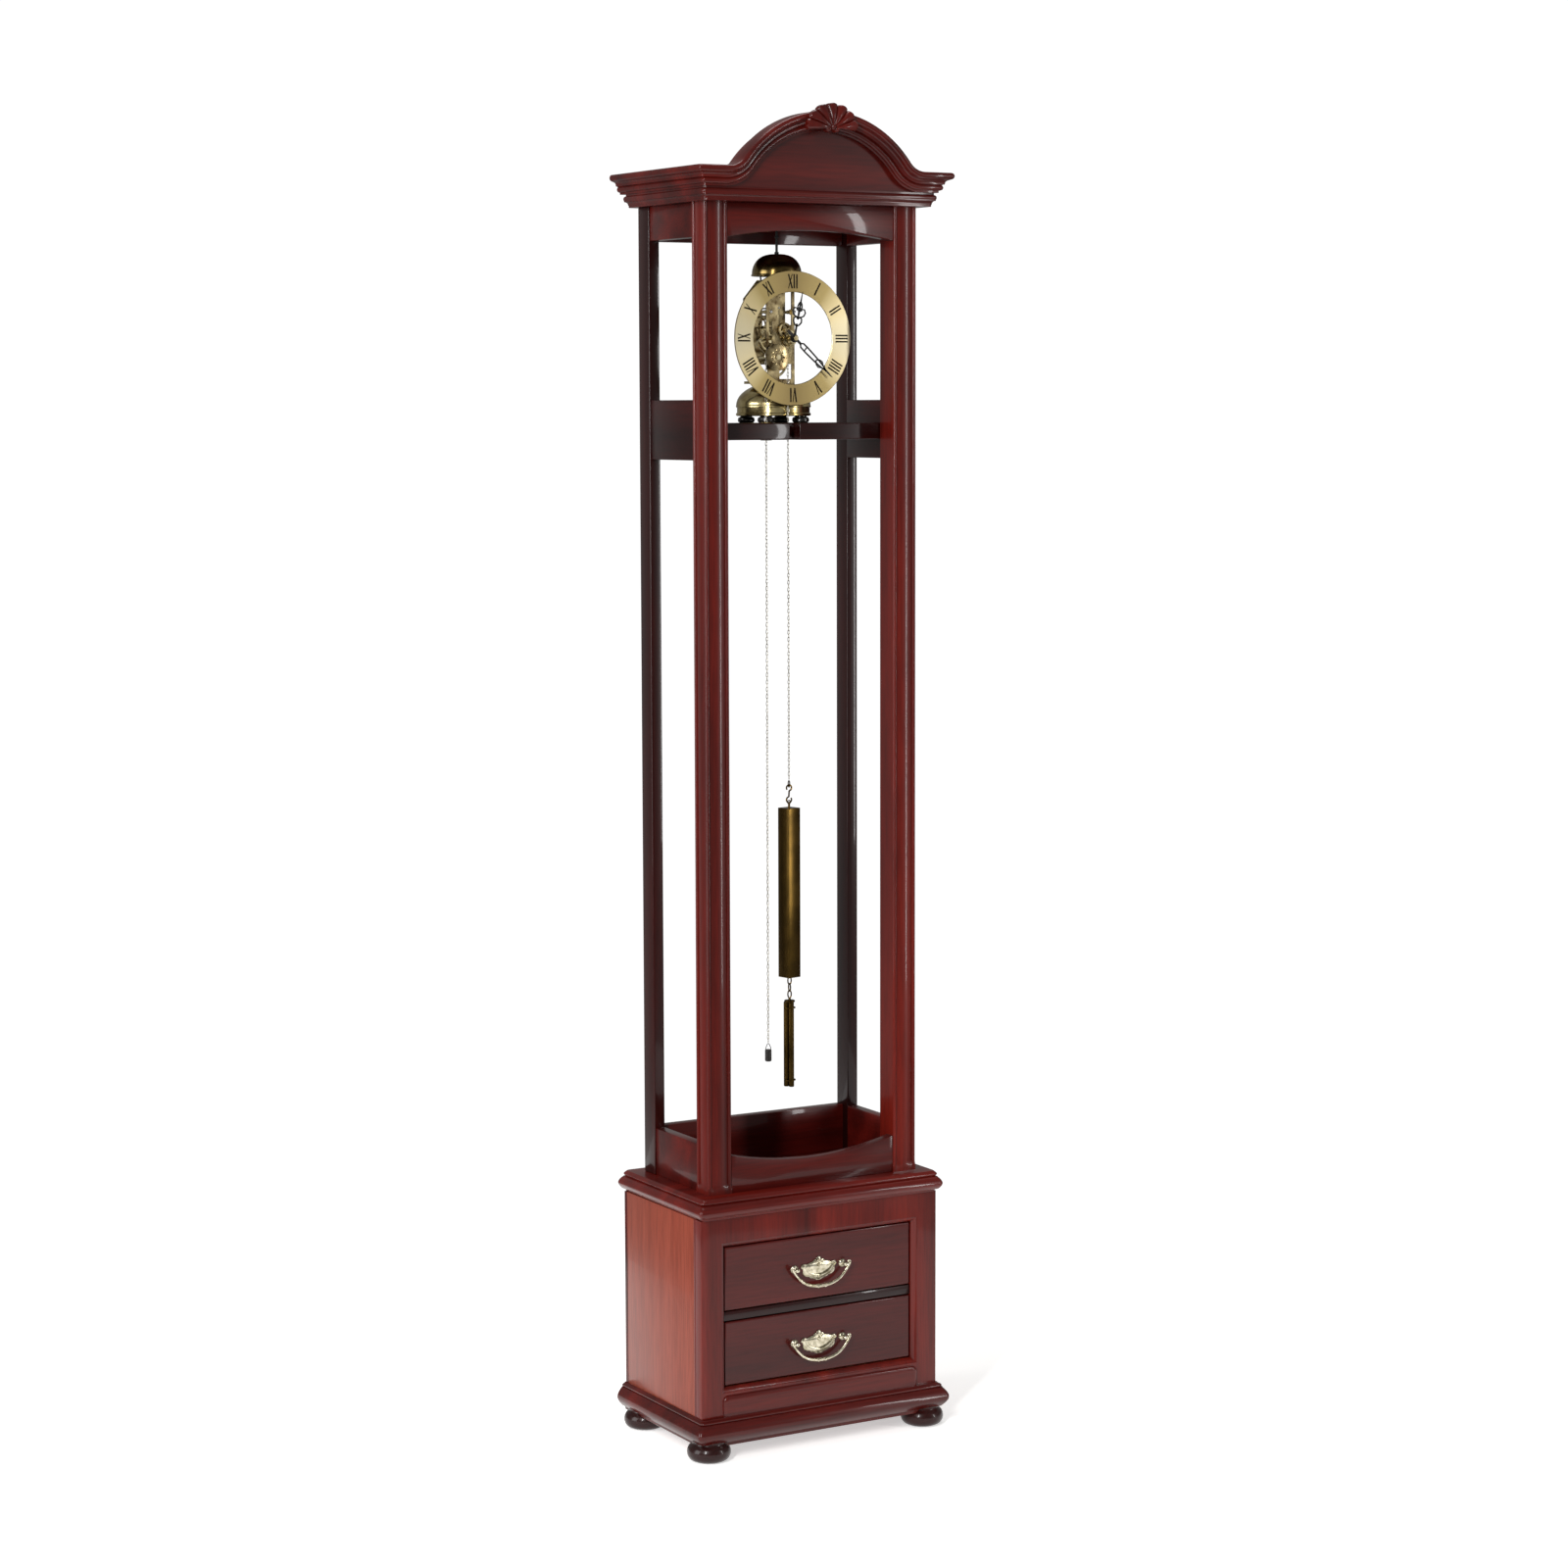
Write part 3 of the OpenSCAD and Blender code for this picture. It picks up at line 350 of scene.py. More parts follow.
# Stations round the posts' rectangle for a point that reaches out by r at height z
def aroundFrame(r, z, frontOut=0, backOut=0, corner=6, steps=4):
    points = []
    for sx, sy in ((-1, 1), (-1, -1), (1, -1), (1, 1)):
        out = backOut if sy > 0 else frontOut
        cx = sx * (halfW + r - corner)
        cy = midY + sy * (halfD + out + r - corner)
        first = {(-1, 1): 90, (-1, -1): 180, (1, -1): 270, (1, 1): 0}[(sx, sy)]
        for i in range(steps + 1):
            a = math.radians(first + 90 * i / steps)
            points.append(Vector((cx + corner * math.cos(a), cy + corner * math.sin(a), z)))
    return points


# ---- base
plinthLook = {"reach": 40, "neck": 32, "corner": 7, "under": 8, "root": 25.02, "tuck": 5}


def makePlinth():
    low, high = spot("plinth_moulding")
    look = plinthLook
    tall = high.z - low.z
    wave = look["reach"] - look["neck"]
    under, root = look["under"], look["root"]
    section = [(root, low.z), (26, low.z + 1), (27, low.z + under - 1), (30, low.z + under - 0.5)]
    section += [(look["neck"] + wave * math.sin(math.pi * i / 14),
                 low.z + under + (tall * 0.84 - under) * i / 14) for i in range(15)]
    section += [(32.4, low.z + tall * 0.845), (30.6, low.z + tall * 0.855)]
    section += [(29.6 + 1.9 * math.sin(math.radians(a)), low.z + tall * 0.9 - 1.9 * math.cos(math.radians(a)))
                for a in (20, 60, 90, 120, 160)]
    section += [(29, low.z + tall * 0.955), (27.4, low.z + tall * 0.97), (26.4, high.z), (root, high.z)]
    bm = bmesh.new()
    rows = []
    for sx, sy, a in ((-1, 1, 180), (-1, -1, 180), (-1, -1, 202), (-1, -1, 225), (-1, -1, 248), (-1, -1, 270),
                      (1, -1, 270), (1, -1, 292), (1, -1, 315), (1, -1, 338), (1, -1, 360), (1, 1, 360)):
        row = []
        for r, z in section:
            bend = min(look["corner"], r - 20)
            x = sx * (halfW + r - bend) + bend * math.cos(math.radians(a))
            reach = r - look["tuck"] if r == root else r
            front = frontY - reach + bend * (1 + math.sin(math.radians(a)))
            row.append(Vector((x, backPanel[1].y if sy > 0 else front, z)))
        rows.append(row)
    addSkin(bm, rows)
    finishPiece(bm, "plinthMoulding", crossWood, "case", "mahogany", "plinth_moulding")


footLook = {"bulge": 33, "tall": 31, "radius": 31}


def makeFeet():
    low, high = spot("bun_feet")
    look = footLook
    radius = look["radius"]
    bm = bmesh.new()
    section = [(0, 0), (20, 0), (23.5, 0.5)]
    section += [(look["bulge"] - 10 + 10 * math.sin(math.radians(a)), 13.5 - 12.5 * math.cos(math.radians(a)))
                for a in range(15, 151, 9)]
    section += [(26, 26.5), (25, 28), (25.5, look["tall"]), (0, look["tall"])]
    for x in (low.x + radius, high.x - radius):
        for y in (low.y + radius, high.y - radius):
            addTurned(bm, section, (x, y, 0), steps=48)
    finishPiece(bm, "bunFeet", paintedShadeWood, "case", "mahogany", "bun_feet", angle=50)


baseLook = {"mould": 6.5, "mouldDeep": 6.5, "cornerReed": 3.4, "drawerGap": 2, "dividerInset": 9}


# A rectangle in the front view, grown outwards by d
def frameLoop(x, z0, z1, d, y):
    corners = ((-x - d, z0 - d), (x + d, z0 - d), (x + d, z1 + d), (-x - d, z1 + d))
    return [Vector((cx, y, cz)) for cx, cz in corners]


def makeBase():
    low, high = base
    look = baseLook
    gap, mould, deep = look["drawerGap"], look["mould"], look["mouldDeep"]
    upper, lower = spot("upper_drawer_front"), spot("lower_drawer_front")
    frameHigh, frameLow = upper[1].z + gap, lower[0].z - gap
    dividerHigh, dividerLow = upper[0].z - gap, lower[1].z + gap
    edge = upper[1].x + gap
    # moulded surround whose inner edge slopes back to the drawers
    profile = [(0, high.y - low.y), (0, deep + 0.8), (0.6, deep), (2.4, 3.4), (3.6, 2.2), (mould - 1, 1.6),
               (mould, 0.9), (mould + 0.5, 0)]
    rows = [frameLoop(edge, frameLow, frameHigh, d, low.y + y) for d, y in profile]
    for inset, y in ((2, low.y), (0.6, low.y + 0.6), (0, low.y + 2), (0, high.y)):
        x = high.x - inset
        rows.append([Vector(p) for p in ((-x, y, low.z), (x, y, low.z), (x, y, high.z), (-x, y, high.z))])
    bm = bmesh.new()
    addSkin(bm, rows, endless=True)
    finishPiece(bm, "baseSurround", uprightWood, "case", "mahogany", "face_frame", angle=25)
    bm = bmesh.new()
    addBox(bm, (-edge, low.y + look["dividerInset"], dividerLow), (edge, high.y, dividerHigh))
    soften(bm, 1.2, 2)
    # the recessed divider is darkened with painted shade
    finishPiece(bm, "drawerDivider", paintedShadeWood, "case", "mahogany")
    # raised sill moulding with rounded ends below the drawers
    rows = []
    top, under, wide, bend = frameLow - 11, low.z + 4, edge + 6, 9
    corners = ((bend - wide, under + bend, 180), (wide - bend, under + bend, 270),
               (wide - bend, top - bend, 0), (bend - wide, top - bend, 90))
    for grow, y in ((0, 0.5), (0, -1.4), (-0.6, -2.6), (-3, -4), (-6.5, -4.6)):
        loop = []
        for cx, cz, first in corners:
            loop += circlePoints(bend + grow, [first + 22.5 * k for k in range(5)], cx, cz)
        rows.append([Vector((px, low.y + y, pz)) for px, pz in loop])
    bm = bmesh.new()
    addSkin(bm, rows)
    finishPiece(bm, "sillMoulding", crossWood, "case", "mahogany", angle=40)
    side = spot("base_sides")
    thick = base[1].y - base[0].y
    bm = bmesh.new()
    for sx in (-1, 1):
        x0, x1 = sorted((sx * (side[1].x - thick), sx * side[1].x))
        addBox(bm, (x0, side[0].y, side[0].z), (x1, side[1].y, side[1].z))
    soften(bm, 1.2, 2)
    # the side panels' lighter tones are painted light
    finishPiece(bm, "baseSides", sidePanelLitWood, "case", "mahogany", "base_sides")
    blockPiece("baseBack", crossWood, "case", "mahogany", "base_back", 0.8)
    # a slim bead runs up each front corner beside the side panel
    reed, beadFoot, beadTop = look["cornerReed"], side[0].z + 40, side[1].z - 0.5
    bm = bmesh.new()
    for sx in (-1, 1):
        addTurned(bm, [(0, beadFoot), (reed, beadFoot), (reed, beadTop), (0, beadTop)],
                  (sx * (side[1].x - 2.6), low.y + 20, 0), steps=20)
    finishPiece(bm, "baseCornerBeads", uprightWood, "case", "mahogany")


def makeWaistBoard():
    low, high = spot("waist_board")
    section = [(22, low.z), (23, low.z + 0.6), (23.6, low.z + 3.4), (27, low.z + 4)]
    section += [(28 + 4 * math.sin(math.radians(i * 15)), low.z + 4.6 + i * 1.35) for i in range(13)]
    section += [(27, low.z + 21.4), (26.4, low.z + 22.6), (24, low.z + 23.2)]
    section += [(23.4 + 2.2 * math.sin(math.radians(i * 22.5)), low.z + 23.6 + 6.6 * i / 8) for i in range(9)]
    section += [(22.4, high.z - 0.8), (21.4, high.z)]
    bm = bmesh.new()
    addSkin(bm, [aroundFrame(r, z) for r, z in section])
    finishPiece(bm, "waistBoard", sillWood, "case", "mahogany", "waist_board")


makePlinth()
makeFeet()
makeBase()
makeWaistBoard()
print("base made")


# ---- drawers
drawerLook = {"bevel": 4.5, "wall": 10, "floor": 6, "step": 1}
handleLook = {"halfSpan": 42, "endWire": 1.9, "midWire": 2.8, "plateThick": 1.6}


def makeDrawer(level):
    body = f"{level}_drawer"
    front = spot(f"{level}_drawer_front")
    bm = bmesh.new()
    addBox(bm, front[0], front[1])
    outer = [f for f in bm.faces if f.normal.y < -0.9]
    bmesh.ops.inset_region(bm, faces=outer, thickness=drawerLook["bevel"], depth=0)
    soften(bm, 1.4, 3)
    finishPiece(bm, f"{level}DrawerFront", drawerWood, body, "mahogany", f"{level}_drawer_front")
    low, high = spot(f"{level}_drawer_box")
    wall, floor = drawerLook["wall"], drawerLook["floor"]
    bm = bmesh.new()
    for x in (low.x, high.x - wall):
        addBox(bm, (x, low.y, low.z), (x + wall, high.y, high.z))
    for y in (low.y, high.y - wall):
        addBox(bm, (low.x + wall, y, low.z), (high.x - wall, y + wall, high.z - drawerLook["step"]))
    addBox(bm, (low.x + wall, low.y + wall, low.z), (high.x - wall, high.y - wall, low.z + floor))
    soften(bm, 0.6, 2)
    finishPiece(bm, f"{level}DrawerBox", beech, body, "drawer_wood", f"{level}_drawer_box")
    makeHandle(level, body, front)


# The backplate's outline: a crown on top, shoulders, and sides that taper to a round foot
def plateOutline():
    crown = [(0, 15.5), (2.2, 15), (3.6, 13.4), (4.4, 11), (6.4, 11.6), (8.4, 10.6), (9.4, 8.6), (13, 8)]
    shoulder = [(17, 6.6), (21, 5.4), (24, 5.8), (27, 6.2), (29.6, 5), (31, 2.6), (30.4, 0), (28, -1.6)]
    flank = [(27.4, -4), (27.8, -7), (26.4, -10.4), (23, -13), (20, -14), (16.6, -14.4), (14, -16.4)]
    foot = [(10, -17), (7, -18.6), (3.6, -20), (0, -20.6)]
    half = crown + shoulder + flank + foot
    return half + [(-x, z) for x, z in reversed(half[1:-1])]


def makeHandle(level, body, front):
    look = handleLook
    z = (front[0].z + front[1].z) / 2
    y = front[0].y
    pivotY = pivot(f"{level}_bail_swing")[1]
    bm = bmesh.new()
    plateY = y - look["plateThick"]
    addSlab(bm, [(x, z + h) for x, h in plateOutline()], plateY, y)
    cap = [f for f in bm.faces if abs(f.calc_center_median().y - plateY) < 0.01]
    bmesh.ops.inset_region(bm, faces=cap, thickness=1.3, depth=1, use_even_offset=True)
    # chased ornament: a crest of bosses, a swag below and a scroll at each shoulder
    for a in (math.radians(30 + 30 * i) for i in range(5)):
        addTurned(bm, [(0, -3.4), (1.5, -2.9), (2.2, -1.6), (2.3, 0)],
                  (6 * math.cos(a), y - 1, z + 4.6 + 5.6 * math.sin(a)), "y", 10)
    addTurned(bm, [(0, -4), (2.6, -3.4), (3.6, -1.6), (3.7, 0)], (0, y - 1, z + 3.4), "y", 14)
    for sx in (-1, 1):
        swag = [(24, -2.4, 1), (20, -3, -5), (14, -3.2, -9.4), (7, -3.2, -12), (0, -3.2, -13)]
        addWire(bm, [(sx * px, y + py, z + pz) for px, py, pz in swag], [1, 1.4, 1.7, 1.5, 1.2], 8)
        curl = circlePoints(2.8, range(-60, 241, 30), 26.4, z + 1.6)
        addWire(bm, [(sx * px, y - 2.4, pz) for px, pz in curl], 0.8, 6)
        addTurned(bm, [(0, -13), (1.6, -12.9), (2.9, -12), (3.4, -10.4), (3.4, -8.6), (2.3, -6.6), (2.1, -4),
                       (3.1, -3.2), (5, -2.4), (6.4, -1.2), (6.6, 0), (0, 0)],
                  (sx * look["halfSpan"], y, z), "y", 22)
    finishPiece(bm, f"{level}HandlePlate", handleBrass, body, "brass", f"{level}_handle_plate", angle=40)
    # bail: a swelling grip whose ends scroll outwards above the pivots
    half = [(0, -28), (7, -27.8), (13, -27), (20, -25.4), (27, -22.6), (33, -18.8), (39, -13.4), (44, -7.4),
            (47.6, -2.4), (49.8, 1), (50.4, 3.2), (49.6, 4.8), (48, 5.2), (46.8, 4.2), (47, 2.8)]
    thick = [look["midWire"], 2.7, 2.6, 2.5, 2.4, 2.3, 2.1, 2, 1.9, 1.8, 1.7, 1.6, 1.5, 1.5, 1.6]
    path = [(-x, pivotY, z + h) for x, h in reversed(half[1:])] + [(x, pivotY, z + h) for x, h in half]
    bm = bmesh.new()
    addWire(bm, path, thick[:0:-1] + thick, 12)
    for sx in (-1, 1):
        addWire(bm, [(sx * (look["halfSpan"] - 1.4), pivotY, z), (sx * 49.4, pivotY, z)], look["endWire"], 12)
        addTurned(bm, [(0, -2.2), (2.6, -2.1), (3.5, -0.8), (3.5, 0.8), (2.6, 2.1), (0, 2.2)],
                  (sx * 6, pivotY, z - 27.9), "x", 14)
    finishPiece(bm, f"{level}Bail", handleBrass, f"{level}_pull", "brass", f"{level}_bail", angle=50)


runnerLook = {"wide": 40, "tall": 10}


def makeRunners():
    low, high = spot("drawer_runners")
    wide, tall = runnerLook["wide"], runnerLook["tall"]
    boxes = [((x, low.y, z), (x + wide, high.y, z + tall))
             for x in (low.x, high.x - wide) for z in (low.z, high.z - tall)]
    blockPiece("drawerRunners", beech, "case", "drawer_wood", "drawer_runners", 0.5, boxes)


for level in ("upper", "lower"):
    makeDrawer(level)
makeRunners()
print("drawers made")


# ---- posts and rails
postLook = {"bead": 3, "swell": 2.6, "quirk": 6.4, "plainFoot": 5, "stop": 10, "backWide": 18}


# One moulded face as (distance from the corner, depth) points
def postFace():
    bead, end = postLook["bead"], postW - postLook["bead"] - 0.3
    quirk, swell = postLook["quirk"], postLook["swell"]
    half = postW / 2 - quirk
    points = [(quirk, bead)]
    points += [(quirk + 2 * half * t, bead - swell * (1 - (2 * t - 1) ** 2) - 0.02)
               for t in (i / 12 for i in range(1, 12))]
    points += [(postW - quirk, bead)]
    points += [(end - bead * math.cos(a), bead - bead * math.sin(a))
               for a in (math.pi * i / 8 for i in range(9))]
    return points


# The post's section, from plain and square at 0 to fully moulded at 1
def postSection(amount):
    bead = postLook["bead"]
    face = postFace()
    corner = [(bead + bead * math.cos(a), bead + bead * math.sin(a))
              for a in (math.radians(90 + 27 * i) for i in range(11))]
    moulded = corner + [(t, d) for t, d in face] + [(postW, bead), (postW, postW), (bead, postW)]
    moulded += [(d, t) for t, d in reversed(face)]
    plain = [(0, v) if i < 5 else (0, 0) if i == 5 else (u, 0) for i, (u, v) in enumerate(corner)]
    plain += [(t, 0) for t, d in face] + [(postW, 0), (postW, postW), (0, postW)]
    plain += [(0, t) for t, d in reversed(face)]
    return [(a[0] + (b[0] - a[0]) * amount, a[1] + (b[1] - a[1]) * amount) for a, b in zip(plain, moulded)]


def makePosts():
    look = postLook
    z0, z1 = posts[0].z, posts[1].z
    stopZ = z0 + look["plainFoot"]
    heights = [(z0, 0), (stopZ, 0)]
    heights += [(stopZ + look["stop"] * i / 6, 0.5 - 0.5 * math.cos(math.pi * i / 6)) for i in range(1, 7)]
    heights += [(z1, 1)]
    for side, name in ((-1, "Left"), (1, "Right")):
        bm = bmesh.new()
        addSkin(bm, [[Vector((side * (halfW - u), frontY + v, z)) for u, v in postSection(amount)]
                     for z, amount in heights])
        nodes = ["front_posts"] if side < 0 else []
        finishPiece(bm, f"frontPost{name}", uprightWood, "case", "mahogany", *nodes, angle=40)
    inner = halfW - look["backWide"]
    bm = bmesh.new()
    for x0, x1 in ((-halfW, -inner), (inner, halfW)):
        addBox(bm, (x0, backPosts[0].y, backPosts[0].z), (x1, backPosts[1].y, backPosts[1].z))
    soften(bm, 1.5, 3)
    # the back posts are darkened with painted shade
    finishPiece(bm, "backPosts", paintedShadeBackWood, "case", "mahogany", "back_posts")


railLook = {"thick": 17, "inset": 2, "soft": 1.2, "trayTall": 57, "trayDip": 18, "headRise": 12}


def makeRails(name, node, frontEdge=None):
    low, high = spot(node)
    look = railLook
    postBack, backFront = frontY + postW, backPosts[0].y
    outer = halfW - look["inset"]
    bm = bmesh.new()
    for x0, x1 in ((-outer, -outer + look["thick"]), (outer - look["thick"], outer)):
        addBox(bm, (x0, postBack, low.z), (x1, backFront, high.z))
    if frontEdge:
        between, rear, face = halfW - postLook["backWide"], backY - look["inset"], frontY + look["inset"]
        addBox(bm, (-between, rear - look["thick"], low.z), (between, rear, high.z))
        addSlab(bm, frontEdge(halfW - postW), face, face + look["thick"])
    soften(bm, look["soft"], 2)
    # the middle rails, with no front edge, take the painted-shade wood
    finishPiece(bm, name, crossWood if frontEdge else paintedShadeSideWood, "case", "mahogany", node)


# The front tray rail dips in the middle, and the top rail is arched underneath
def trayEdge(inner):
    z, tall, dip = spot("tray_rails")[0].z, railLook["trayTall"], railLook["trayDip"]
    dipped = [(inner * t, z + tall - dip * (1 - t ** 2)) for t in (1 - 2 * i / 32 for i in range(33))]
    return [(-inner, z), (inner, z)] + dipped


def headEdge(inner):
    low, high = spot("top_rails")[0].z, spot("top_rails")[1].z
    rise = railLook["headRise"]
    arched = [(-inner * t, low + rise * (1 - t ** 2)) for t in (1 - 2 * i / 32 for i in range(33))]
    return arched + [(inner, high), (-inner, high)]


makePosts()
makeRails("trayRails", "tray_rails", trayEdge)
makeRails("middleRails", "middle_rails")
makeRails("topRails", "top_rails", headEdge)


seatLook = {"notchRoom": 6.2, "notchCorner": 4, "eyeBore": 6, "eyeRim": 8.5}


def makeSeat():
    low, high = spot("seat_board")
    hang = spot("weight_chain")
    tail = spot("tail_chain")
    room, corner = seatLook["notchRoom"], seatLook["notchCorner"]
    x0, x1 = hang[0].x - room, hang[1].x + room
    notch = hang[1].y + room
    bm = bmesh.new()
    verts = [bm.verts.new((x, y, low.z)) for x, y in (
        (low.x, low.y), (x0, low.y), (x0, notch - corner), (x0 + corner, notch), (x1 - corner, notch),
        (x1, notch - corner), (x1, low.y), (high.x, low.y), (high.x, high.y), (low.x, high.y))]
    face = bm.faces.new(verts)
    out = bmesh.ops.extrude_face_region(bm, geom=[face])["geom"]
    moved = [v for v in out if isinstance(v, bmesh.types.BMVert)]
    bmesh.ops.translate(bm, vec=(0, 0, high.z - low.z), verts=moved)
    soften(bm, 2, 3)
    finishPiece(bm, "seatBoard", paintedShadeWood, "case", "mahogany", "seat_board")
    # a brass eye lines the tail chain's hole
    centre = ((tail[0].x + tail[1].x) / 2, (tail[0].y + tail[1].y) / 2, 0)
    bm = bmesh.new()
    bore, rim = seatLook["eyeBore"], seatLook["eyeRim"]
    top, under = high.z, low.z
    addTurned(bm, [(bore, top), (rim, top), (rim, top + 0.8), (rim - 1.1, top + 1.4), (bore, top + 1)],
              centre, steps=28, closed=True)
    addTurned(bm, [(bore, under), (rim, under), (rim, under - 0.8), (bore, under - 1)],
              centre, steps=28, closed=True)
    finishPiece(bm, "chainEye", antiqueBrass, "case", "antique_brass")


makeSeat()
print("posts and rails made")


# ---- bonnet
def makeCorniceBed():
    low, high = spot("cornice_bed")
    z = low.z
    section = [(12, z), (12, z + 2.6), (12.6, z + 3)]
    section += [(12.6 + 4 * (1 - math.cos(a)), z + 3 + 5.4 * math.sin(a))
                for a in (math.radians(15 * i) for i in range(1, 7))]
    section += [(17.2, z + 8.6)]
    section += [(16.6 + 1.4 * math.sin(math.radians(i * 22.5)), z + 9 + i) for i in range(1, 8)]
    section += [(16, z + 16.6), (15, z + 17.4), (15, high.z), (-39, high.z), (-39, z)]
    rows = [aroundFrame(r, z, 14, -1, corner=6 if r > 0 else 1) for r, z in section]
    bm = bmesh.new()
    addSkin(bm, rows, endless=True)
    finishPiece(bm, "corniceBed", crossWood, "case", "mahogany", "cornice_bed")


archLook = {"radius": 175, "foot": 32, "frontOut": 17, "corner": 3, "roofSet": 8, "roofThick": 7}


# Stations along the crown's top edge; each gives (x, z) for a point that lies d below the edge
def archStations():
    big, foot = archLook["radius"], archLook["foot"]
    zc = archTop - big
    rise = crownTop + foot - zc
    footX = math.sqrt((big + foot) ** 2 - rise ** 2)
    meet = math.degrees(math.atan2(rise, footX))
    right = []
    for i in range(33):
        a = math.radians(90 + (meet - 90) * i / 32)
        right.append(lambda d, a=a: ((big - d) * math.cos(a), zc + (big - d) * math.sin(a)))
    for i in range(1, 13):
        a = math.radians(180 + meet + (90 - meet) * i / 12)
        right.append(lambda d, a=a: (footX + (foot + d) * math.cos(a),
                                     crownTop + foot + (foot + d) * math.sin(a)))
    left = [lambda d, s=s: (-s(d)[0], s(d)[1]) for s in right[1:]]
    return left[::-1] + right


# The crown's section as (reach, depth below the top): a torus, a cove and a small bead
def crownSection():
    def swell(reach, depth, across, down, angles):
        return [(reach + across * math.sin(a), depth - down * math.cos(a)) for a in map(math.radians, angles)]

    tall = crownTop - crownUnder
    points = swell(31.4, 4.9, 3.9, 4.9, range(10, 171, 20)) + [(31, 10.2), (29.6, 10.6)]
    points += swell(29.4, 15.6, -4.6, 4.6, (10, 30, 50, 70, 90)) + [(24.6, 17), (22.4, 17.4)]
    points += swell(20.4, 21.6, 2.6, 3.8, (25, 55, 85, 115, 150)) + [(19.6, 25.8), (18, 26.2), (18, tall)]
    return points + [(3, tall), (3, 0)]


def makeCrown():
    section = crownSection()
    bend = archLook["corner"]
    returnsBack = spot("crown_returns")[1].y
    faceY = frontY - archLook["frontOut"]

    # one row of the section at each step round a front corner
    def cornerRows(side, angles):
        return [[Vector((side * (halfW + r - bend) + bend * math.cos(a),
                         faceY - r + bend + bend * math.sin(a), crownTop - d)) for r, d in section]
                for a in map(math.radians, angles)]

    stations = archStations()
    rows = [[Vector((-halfW - r, returnsBack, crownTop - d)) for r, d in section]]
    rows += cornerRows(-1, (180, 210, 240, 270))
    rows += [[Vector((station(d)[0], faceY - r, station(d)[1])) for r, d in section] for station in stations]
    rows += cornerRows(1, (270, 300, 330, 360))
    rows.append([Vector((halfW + r, returnsBack, crownTop - d)) for r, d in section])
    bm = bmesh.new()
    addSkin(bm, rows)
    finishPiece(bm, "crownMoulding", crossWood, "case", "mahogany", "crown_front", "crown_returns", angle=38)
    # tympanum and the curved roof behind the arch
    low, high = spot("tympanum")
    arch = [s(crownTop - crownUnder - 0.5) for s in stations]
    arch = [(x, z) for x, z in arch if z > crownUnder + 0.6]
    bm = bmesh.new()
    addSlab(bm, [(arch[0][0], crownUnder)] + arch + [(arch[-1][0], crownUnder)], low.y, high.y)
    finishPiece(bm, "tympanumBoard", crossWood, "case", "mahogany", "tympanum")
    low, high = spot("bonnet_roof")
    roofSet = archLook["roofSet"]
    roofed = [s for s in stations if abs(s(roofSet)[0]) < high.x]
    outer = [s(roofSet) for s in roofed]
    inner = [s(roofSet + archLook["roofThick"]) for s in roofed]
    bm = bmesh.new()
    rows = [[Vector((x, y, z)) for x, z in line]
            for line, y in ((outer, low.y), (outer, high.y), (inner, high.y), (inner, low.y))]
    addSkin(bm, rows, around=False, endless=True)
    rims = [e for e in bm.edges if e.is_boundary]
    bmesh.ops.holes_fill(bm, edges=rims, sides=0)
    finishPiece(bm, "bonnetRoof", crossWood, "case", "mahogany", "bonnet_roof")
    blockPiece("topBoard", crossWood, "case", "mahogany", "top_board", 0.8)


shellLook = {"lobes": 7, "scallop": 0.07, "groove": 4, "foot": 7}


# A scallop: smooth ribs fan out from a small scroll at the foot
def makeShell():
    look = shellLook
    low, high = spot("shell_carving")
    back, thick = high.y, high.y - low.y
    footZ = low.z + look["foot"]
    wide, tall = high.x, high.z - footZ
    bm = bmesh.new()
    rows = []
    across, out = 112, 14
    for j in range(out + 1):
        t = j / out
        row = []
        for i in range(across + 1):
            a = math.radians(-4 + 188 * i / across)
            rib = abs(math.sin(look["lobes"] * math.pi * i / across)) ** 0.6
            size = t * (1 - look["scallop"] * (1 - rib) * t)
            dome = thick * (0.42 + 0.5 * math.sin(math.pi * (0.15 + 0.72 * t)))
            proud = dome - look["groove"] * (1 - rib) * min(1, t * 1.6)
            row.append(Vector((wide * math.cos(a) * size, back - max(proud, 1),
                               footZ + tall * math.sin(a) * size)))
        rows.append(row)
    rows.append([Vector((p.x, back, p.z)) for p in rows[-1]])
    addSkin(bm, rows, around=False, capped=False)
    rims = [e for e in bm.edges if e.is_boundary]
    bmesh.ops.holes_fill(bm, edges=rims, sides=0)
    for sx in (-1, 1):
        addTurned(bm, [(0, -thick * 0.8), (3, -thick * 0.76), (5, -thick * 0.5), (5.4, 0), (0, 0)],
                  (sx * 7, back, footZ - 0.6), "y", 16)
    addTurned(bm, [(0, -thick * 0.95), (3.4, -thick * 0.85), (5, -thick * 0.5), (5, 0), (0, 0)],
              (0, back, footZ + 2), "y", 16)
    finishPiece(bm, "shellCarving", uprightWood, "case", "mahogany", "shell_carving", angle=70)


makeCorniceBed()
makeCrown()
makeShell()
print("bonnet made")


# ---- dial and hands
dialLook = {"bore": 68, "bevel": 0.6, "strokeProud": 0.25, "numeralTall": 21, "numeralMid": 83.8,
            "heavy": 2.3, "light": 1.2, "pillars": ((-5, 1), (3, -1), (-34, -1))}


